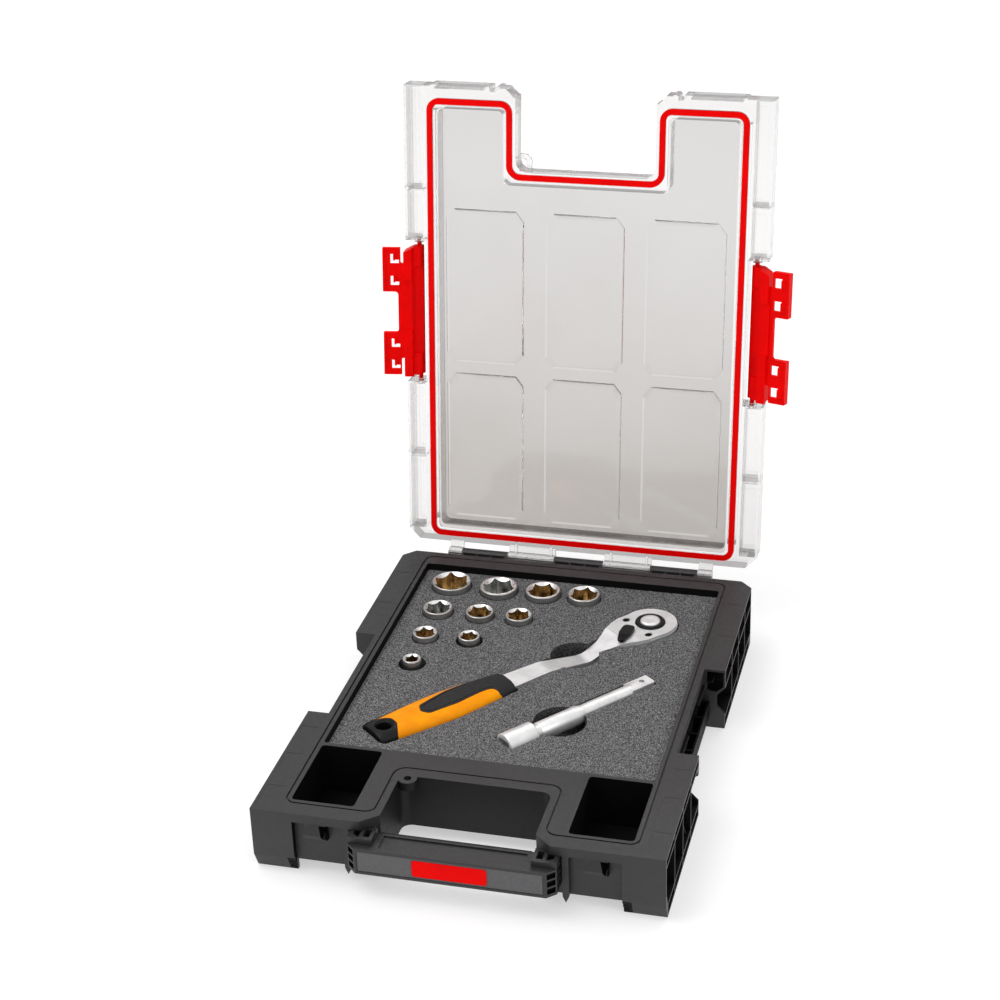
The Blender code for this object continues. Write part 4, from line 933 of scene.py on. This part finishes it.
def foam_insert():
    body = prism(rectangle(-133.6, -111.2, 133.6, 188.1, 2.2), 7.3, 43.5)
    tools = [rod((x, y), 10.7, 48.0, max(diameter, DRIVE_END) / 2 + 0.8, steps=64)
             for _, diameter, x, y, _ in SOCKETS]
    grip = rounded([(-284.2, -17.5, 6.0), (-215.0, -21.5, 20.0), (-150.0, -16.5, 2.0),
                    (-150.0, 16.5, 2.0), (-215.0, 21.5, 20.0), (-284.2, 17.5, 6.0)])
    ratchet = (prism(head_outline(0.8), 23.4, 48.0), prism(grip, 27.6, 48.0),
               rod((0.0, 0.0), 11.4, 48.0, 12.4), rod((-81.0, 0.0), 17.0, 48.0, 21.0, steps=72))
    bar = (box((-98.0, -11.4, -12.0), (-66.0, 11.4, 10.0)),
           box((-67.0, -10.8, -12.0), (-26.0, 10.8, 10.0)),
           box((-27.0, -8.2, -9.0), (54.0, 8.2, 10.0)),
           rod((-43.0, -3.0), -22.0, 10.0, 22.0, steps=72))
    tools += [moved(one, shift(z=-UP) @ place) for shapes, place in ((ratchet, RATCHET), (bar, BAR))
              for one in shapes]
    solid = cut(body, *tools)
    # Faces below the foam's top, the pocket walls and floors, take the darker foam as painted shade.
    sorted_faces(solid, lambda x, y, z, normal: int(z < 43.3))
    foam = piece("foam_block", solid, M["foam"], "foam", ["foam_insert"], bevel=0.5, steps=2,
                 angle=40.0, more=(M["foam_painted_shade"],))


# ---------------------------------------------------------------- sockets

def socket(size, diameter, x, y, spin):
    """A socket on its drive end: hexagon with relieved corners, conical mouth, stepped wall."""
    low, high = 11.0, 49.0
    nut, drive = diameter / 2, max(DRIVE_END, 0.88 * diameter) / 2
    waist = low + 38.0 * 0.42
    body = turned([
        (0.0, high), (nut - 0.95, high), (nut - 0.55, high - 0.12), (nut - 0.15, high - 0.5),
        (nut, high - 1.0), (nut, waist + 2.4), (nut - 0.2, waist + 1.6), (drive + 0.2, waist - 1.6),
        (drive, waist - 2.4), (drive, low + 9.4), (drive - 0.45, low + 8.9), (drive - 0.45, low + 7.3),
        (drive, low + 6.8), (drive, low + 1.0), (drive - 0.3, low + 0.3), (drive - 1.0, low),
        (0.0, low),
    ], 96)
    corner = size / 2 / math.cos(math.radians(30)) + 0.1
    depth = min(20.0, 10.0 + size / 3)
    outline = []
    for k in range(6):
        for turn_by, reach in ((-4.0, 0.992), (-1.8, 1.022), (1.8, 1.022), (4.0, 0.992),
                               (14.0, 0.9), (22.0, 0.867), (30.0, 0.858), (38.0, 0.867), (46.0, 0.9)):
            a = math.radians(spin + 60 * k + turn_by)
            outline.append((corner * reach * math.cos(a), corner * reach * math.sin(a)))
    mouth = corner + 0.75
    half = 6.5
    tools = [
        prism(outline, high - depth, high + 3),
        turned([(0.0, high + 1.3), (mouth + 1.3, high + 1.3), (max(mouth - 5.1, 0.6), high - 5.1),
                (0.0, high - 5.1)], 90),
        rod((0, 0), low - 3, high - depth + 0.5, 5.0, steps=40),
        box((-half, -half, low - 3), (half, half, low + 14.0)),
        rod((0.0, low + 8.0), half - 1.0, half + 1.1, 1.9, "X", 20),
    ]
    for one in tools:
        body = cut(body, one)
    bore = 2 if size in (24, 19) else 1
    for face in body.data.polygons:
        c = face.center
        reach = math.hypot(c.x, c.y) / MM
        z = c.z / MM
        inward = face.normal.x * c.x + face.normal.y * c.y < 0
        # The end face and the mouth's sloping faces take the bright chrome: painted highlight.
        if z > high - 0.02:
            face.material_index = 3
        elif reach < mouth + 0.3 and (inward or reach < drive - 2.0) and z > low + 1.0:
            face.material_index = bore if abs(face.normal.z) < 0.3 or z < high - depth + 1 else 3
    place = shift(x, y, UP)
    piece(f"socket_{size:02d}mm_steel", body, M["chrome"], f"socket_{size:02d}mm",
          [f"socket_{size:02d}mm"], place, bevel=0.22, steps=2, angle=32.0,
          more=(M["bronze"], M["bore"], M["bright"]))


# ---------------------------------------------------------------- ratchet and extension

GRIP_Z = 39.2
SCREW_X, SCREW_Y = -14.0, 15.7
GRIP = (
    (-283.0, 14.5, 8.5), (-282.0, 15.1, 9.2), (-279.0, 15.6, 9.8), (-271.0, 16.2, 10.2),
    (-259.0, 17.2, 10.4), (-250.0, 18.1, 10.6), (-240.0, 19.0, 10.8), (-231.0, 19.6, 10.9),
    (-222.0, 20.0, 11.0), (-213.0, 20.1, 11.0), (-205.0, 20.0, 11.0), (-197.0, 19.5, 10.9),
    (-188.0, 18.8, 10.8), (-178.0, 17.8, 10.6), (-167.0, 16.6, 10.4), (-160.0, 15.6, 10.0),
    (-154.0, 14.6, 9.6), (-152.0, 14.0, 9.1), (-151.0, 13.4, 8.6),
)


def loft(sections, steps=72, shrink=0.0):
    """A barrel through (x, half width, half height) superellipses about the grip's line."""
    shape = bmesh.new()
    rings = []
    for x, wide, high in sections:
        loop = []
        for k in range(steps):
            angle = 2 * math.pi * k / steps
            c, s = math.cos(angle), math.sin(angle)
            a = math.copysign(abs(c) ** 0.75, c) * (wide - shrink)
            b = math.copysign(abs(s) ** 0.75, s) * (high - shrink)
            loop.append(shape.verts.new((x * MM, a * MM, (GRIP_Z + b) * MM)))
        rings.append(loop)
    for one, two in zip(rings, rings[1:]):
        for k in range(steps):
            j = (k + 1) % steps
            shape.faces.new((one[k], one[j], two[j], two[k]))
    shape.faces.new(list(reversed(rings[0])))
    shape.faces.new(rings[-1])
    bmesh.ops.recalc_face_normals(shape, faces=shape.faces)
    return tool(from_bmesh(shape))


def strip_plan(grow, low, high=70.0):
    """The strip's plan: slanted and rounded at the back, running into the collar in front."""
    return prism(rounded([(-238.0 - grow, -2.5 - grow, 4.5), (-233.5, -8.6 - grow, 5.0),
                          (-206.0, -9.6 - grow, 20.0), (-183.0, -7.2 - grow, 10.0),
                          (-168.6 - grow, -7.4 - grow, 7.0), (-166.9 - grow, -24.0, 0.0),
                          (-158.0, -24.0, 0.0), (-158.0, 19.0 + grow, 0.0),
                          (-166.0, 14.6 + grow, 3.0), (-203.0, 12.8 + grow, 8.0),
                          (-234.0 - grow, 5.5 + grow, 6.0)]), low, high)


def cap_plan(grow):
    """The end cap's plan: its edge runs round the hang hole."""
    return prism(rounded([(-310.0, -40.0, 0.0), (-274.5 + grow, -32.0, 0.0),
                          (-268.0 + grow, -15.0, 6.0), (-262.2 + grow, -4.5, 6.0),
                          (-262.2 + grow, 4.0, 7.0), (-270.2 + grow, 12.0, 4.0),
                          (-281.0 + grow, 21.0, 0.0), (-310.0, 21.0, 0.0)]), 0.0, 80.0)


def grip():
    shell = loft(GRIP)
    shell = cut(shell, cap_plan(0.3),
                box((-167.3, -30.0, 0.0), (-140.0, 30.0, 70.0)),
                box((-256.0, -7.3, GRIP_Z - 4.8), (-140.0, 7.3, GRIP_Z + 4.8)))
    shell = cut(shell, strip_plan(0.5, GRIP_Z + 5.0))
    piece("grip_rubber", shell, M["orange"], "ratchet", ["grip_shell"],
          RATCHET, bevel=0.5, steps=3, angle=40.0, flat=0.05)
    upper = boolean(loft(GRIP), "INTERSECT", [joined(
        strip_plan(0.0, GRIP_Z + 5.2), box((-167.0, -30.0, 10.0), (-140.0, 30.0, 70.0)))])
    inlay = cut(upper, box((-300.0, -7.3, GRIP_Z - 4.8), (-140.0, 7.3, GRIP_Z + 4.8)))
    rim = cut(strip_plan(-1.8, GRIP_Z + 6.0), strip_plan(-2.5, 0.0))
    rim = cut(rim, box((-170.0, -40.0, 0.0), (-100.0, 40.0, 70.0)))
    shallow = boolean(loft(GRIP, shrink=0.45), "INTERSECT", [box((-300, -40, 0), (-100, 40, 80))])
    inlay = cut(inlay, cut(rim, shallow))
    piece("grip_strip", inlay, M["strip"], "ratchet", ["grip_inlay"], RATCHET,
          bevel=0.35, angle=38.0, flat=0.05)
    cap = boolean(loft(GRIP), "INTERSECT", [cap_plan(0.0)])
    cap = cut(cap,
              rod((-272.0, 0.0), 0.0, 70.0, 6.2, steps=48),
              rod((-272.0, 0.0), GRIP_Z + 7.0, GRIP_Z + 11.6, 5.4, steps=48, far=9.6))
    piece("grip_cap", cap, M["black"], "ratchet", ["grip_end_cap"], RATCHET,
          bevel=0.5, steps=3, angle=40.0, flat=0.05)


def ratchet_steel():
    side = rounded([
        (HEAD_R + 1, 24.0, 2.0), (HEAD_R + 1, 45.0, 0.0), (-35.5, 45.0, 0.0),
        (-35.7, 47.0, 0.0), (-40.0, 46.4, 6.0), (-70.0, 36.5, 20.0), (-112.0, 44.0, 30.0),
        (-150.6, 44.0, 0.0), (-150.6, 34.4, 0.0), (-112.0, 34.4, 30.0), (-70.0, 25.0, 20.0),
        (-40.0, 24.0, 10.0),
    ], 10)
    body = prism(side, -30.0, 30.0, "Y")
    body = boolean(body, "INTERSECT", [prism(head_outline(nose=40), 0.0, 70.0)])
    body = joined(body, box((-252.0, -7.0, GRIP_Z - 4.5), (-149.0, 7.0, GRIP_Z + 4.5)))
    body = cut(body, rod((0, 0), 27.2, 50.0, 16.0, steps=72), rod((0, 0), 20.0, 30.0, 11.8, steps=48),
               box((-31.0, -12.3, 31.0), (-8.0, 12.3, 50.0)),
               rod((SCREW_X, SCREW_Y), 38.0, 50.0, 1.9), rod((SCREW_X, -SCREW_Y), 38.0, 50.0, 1.9))
    piece("ratchet_forging", body, M["forged"], "ratchet", ["ratchet_body"], RATCHET,
          bevel=0.9, steps=4, angle=38.0, flat=0.4)
    plate = prism([(x, y * 0.985) for x, y in head_outline(-0.2, 40)], 45.3, 47.0)
    tools = [box((-160.0, -30.0, 0.0), (-35.2, 30.0, 70.0)), rod((0, 0), 0.0, 70.0, 13.3, steps=72),
             rod((-24.0, 0.0), 0.0, 70.0, 4.9)]
    for s in (-1, 1):
        tools.append(prism([(SCREW_X + 3.6 * math.cos(a), s * SCREW_Y + 3.0 * math.sin(a))
                            for a in (2 * math.pi * k / 32 for k in range(32))], 0.0, 70.0))
    plate = cut(plate, *tools)
    piece("head_plate", plate, M["plate"], "ratchet", ["cover_plate"], RATCHET, bevel=0.3,
          angle=38.0, flat=0.4)
    for name, s in (("left", 1), ("right", -1)):
        centre = (SCREW_X, s * SCREW_Y)
        head = joined(rod(centre, 45.3, 46.7, 2.9, steps=40), rod(centre, 38.4, 46.0, 1.6))
        star = [(centre[0] + r * math.cos(a), centre[1] + r * math.sin(a))
                for r, a in ((1.5 if k % 2 else 0.95, math.pi * k / 6) for k in range(12))]
        head = cut(head, prism(star, 45.7, 48.0))
        piece(f"plate_screw_{name}", head, M["black"], "ratchet",
              [f"cover_screw_{name}"], RATCHET, bevel=0.2)
    hoop = turned([(13.0, 44.3), (13.0, 47.6), (12.4, 48.4), (11.6, 48.6), (9.8, 48.6), (9.2, 48.2),
                   (9.2, 44.3), (13.0, 44.3)], 96)
    piece("button_ring", hoop, M["black"], "ratchet", ["retaining_ring"], RATCHET,
          bevel=0.0, angle=35.0, flat=0.1)
    cap = turned([(0.0, 49.55), (2.0, 49.6), (5.6, 49.8), (6.6, 49.8), (7.6, 49.65), (8.3, 49.2),
                  (8.8, 48.4), (8.8, 42.0), (1.8, 42.0), (1.8, 19.0), (0.0, 19.0)], 96)
    piece("button_cap", cap, M["plate"], "button", ["release_button"], RATCHET,
          bevel=0.0, angle=35.0, flat=0.1)


def reverse_lever():
    paddle = rounded([(-5.0, -5.2, 4.0), (8.0, -5.4, 3.0), (20.0, -2.6, 2.2), (21.4, 2.6, 2.2),
                      (8.0, 5.4, 3.0), (-5.0, 5.2, 4.0)], 10)
    lever = joined(prism(paddle, 47.3, 50.0), rod((0, 0), 43.2, 48.0, 4.5, steps=40))
    lever = cut(lever, *[box((x, -5.6, 49.2), (x + 1.0, 5.6, 52.0)) for x in (11.5, 13.8, 16.1)])
    place = RATCHET @ shift(-24.0, 0.0, 0.0) @ turn(212.5, "Z")
    piece("direction_lever", lever, M["black"], "lever", ["reverse_lever"], place,
          bevel=0.7, steps=4, angle=38.0, flat=0.4)


def extension_bar():
    half = 6.35
    body = turned([
        (0.0, 34.0), (6.3, 34.0), (6.6, 33.6), (6.9, 31.0), (6.9, -23.0), (7.1, -19.0), (8.0, -23.0),
        (8.1, -24.0), (8.1, -62.6), (7.7, -63.4), (7.0, -63.8), (7.0, -66.2), (9.6, -67.4),
        (11.1, -69.2), (11.1, -96.1), (10.7, -96.7), (10.2, -97.0), (0.0, -97.0),
    ], 96, turn(90, "Y"))
    chamfered = [(-half, -half + 1), (-half + 1, -half), (half - 1, -half), (half, -half + 1),
                 (half, half - 1), (half - 1, half), (-half + 1, half), (-half, half - 1)]
    body = joined(body, prism(chamfered, 30.0, 53.0, "X"))
    body = cut(body, box((-99.0, -half - 0.15, -half - 0.15), (-80.0, half + 0.15, half + 0.15)),
               rod((44.5, 0.0), 2.0, 12.0, 2.3, steps=24))
    piece("extension_steel", body, M["drawn"], "extension", ["extension_bar"], BAR,
          bevel=0.35, steps=3, angle=32.0, flat=0.1)


def spring_coil():
    """The coil under the button, built at one fixed length."""
    curve = bpy.data.curves.new("coil", "CURVE")
    curve.dimensions = "3D"
    curve.bevel_depth = 0.45 * MM
    curve.bevel_resolution = 3
    curve.use_fill_caps = True
    turns, steps, low, high = 4.5, 24, 34.75, 40.6
    spline = curve.splines.new("POLY")
    spline.points.add(int(turns * steps))
    for k, point in enumerate(spline.points):
        part = k / (turns * steps)
        rise = min(max((part * turns - 0.6) / (turns - 1.2), 0.0), 1.0)
        angle = 2 * math.pi * k / steps
        point.co = (5.2 * math.cos(angle) * MM, 5.2 * math.sin(angle) * MM,
                    (low + (high - low) * rise) * MM, 1.0)
    thing = bpy.data.objects.new("coil", curve)
    TEMP.objects.link(thing)
    coil = piece("spring_coil", tool(baked(thing)), M["steel"], "gear",
                 ["button_spring"], RATCHET, bevel=0.0, angle=60.0, flat=0.0)
    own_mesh(coil)


def keep(node, material, bevel=0.15):
    """A CAD piece whose shape is shown as it is, with a finish and softened edges."""
    thing = frame["nodes"][node]
    thing.data.materials.clear()
    thing.data.materials.append(material)
    soften(thing, bevel, 2, 40)


# ---------------------------------------------------------------- camera, light, floor

def camera():
    data = bpy.data.cameras.new("camera")
    data.lens, data.sensor_width = 80.095, 36.0        # millimetres
    data.clip_start, data.clip_end = 0.05, 30.0
    cam = bpy.data.objects.new("camera", data)
    az, el, roll = math.radians(15.34), math.radians(27.245), math.radians(-2.08)
    back = Vector((math.sin(az) * math.cos(el), -math.cos(az) * math.cos(el), math.sin(el)))
    right = (-back).cross(Vector((0, 0, 1))).normalized()
    up = right.cross(-back)
    r2 = right * math.cos(roll) + up * math.sin(roll)
    u2 = -right * math.sin(roll) + up * math.cos(roll)
    place = Matrix((r2, u2, back)).transposed().to_4x4()
    place.translation = Vector((0.40197, -1.50877, 1.02777 + UP * MM))
    cam.matrix_world = place
    SCENE.collection.objects.link(cam)
    SCENE.camera = cam


def floor():
    shape = bmesh.new()
    bmesh.ops.create_grid(shape, x_segments=1, y_segments=1, size=40.0)
    thing = bpy.data.objects.new("floor", from_bmesh(shape))
    thing.location.z = -0.3 * MM
    SCENE.collection.objects.link(thing)
    finish = Finish("floor", (0.55, 0.55, 0.55), 0.9, Emission_Color=(1.0, 1.0, 1.0),
                    Emission_Strength=0.5, Specular_IOR_Level=0.1)
    finish.to("Roughness", finish.spread(finish.noise(6.0), 0.8, 0.9))
    thing.data.materials.append(finish.material)


def area_light(name, place, target, width, height, power):
    data = bpy.data.lights.new(name, "AREA")
    data.shape = "RECTANGLE"
    data.size, data.size_y, data.energy = width, height, power
    lamp = bpy.data.objects.new(name, data)
    lamp.location = place
    lamp.rotation_euler = (Vector(target) - Vector(place)).to_track_quat("-Z", "Y").to_euler()
    SCENE.collection.objects.link(lamp)


def light():
    world = bpy.data.worlds.new("studio")
    SCENE.world = world
    world.use_nodes = True
    nodes, links = world.node_tree.nodes, world.node_tree.links
    place = nodes.new("ShaderNodeTexCoord").outputs["Generated"]
    split = nodes.new("ShaderNodeSeparateXYZ")
    links.new(place, split.inputs[0])
    ramp = nodes.new("ShaderNodeValToRGB")
    marks = ramp.color_ramp.elements
    while len(marks) < 4:
        marks.new(0.5)
    for mark, (at, value) in zip(marks, ((0.0, 0.42), (0.5, 0.48), (0.7, 0.88), (1.0, 1.3))):
        mark.position, mark.color = at, (value, value, value, 1.0)
    scale = nodes.new("ShaderNodeMath")
    scale.operation = "MULTIPLY_ADD"
    scale.inputs[1].default_value, scale.inputs[2].default_value = 0.5, 0.5
    links.new(split.outputs["Z"], scale.inputs[0])
    links.new(scale.outputs[0], ramp.inputs[0])
    links.new(ramp.outputs[0], nodes["Background"].inputs["Color"])
    nodes["Background"].inputs["Strength"].default_value = 0.72
    area_light("key", (-1.1, -0.5, 2.2), (0, 0, 0.1), 1.6, 1.6, 22)
    area_light("fill", (1.6, -1.2, 1.6), (0, 0, 0.1), 1.2, 1.2, 6)
    area_light("back", (0.2, 1.8, 1.9), (0, 0.1, 0.1), 2.0, 0.9, 12)
    SCENE.view_settings.view_transform = "Standard"


# ---------------------------------------------------------------- everything

case_base()
handle_label()
lid_cover()
lid_gasket()
latch("left", -1, 78.0)
latch("right", 1, 71.0)
foam_insert()
for one in SOCKETS:
    socket(*one)
grip()
ratchet_steel()
reverse_lever()
spring_coil()
extension_bar()
for node in ("drive_gear", "drive_ball", "pawl", "extension_ball"):
    keep(node, M["steel"], 0.12)
keep("hinge_rod", M["chrome"])
camera()
floor()
light()
for scrap in list(TEMP.objects):
    bpy.data.objects.remove(scrap, do_unlink=True)
bpy.data.collections.remove(TEMP)
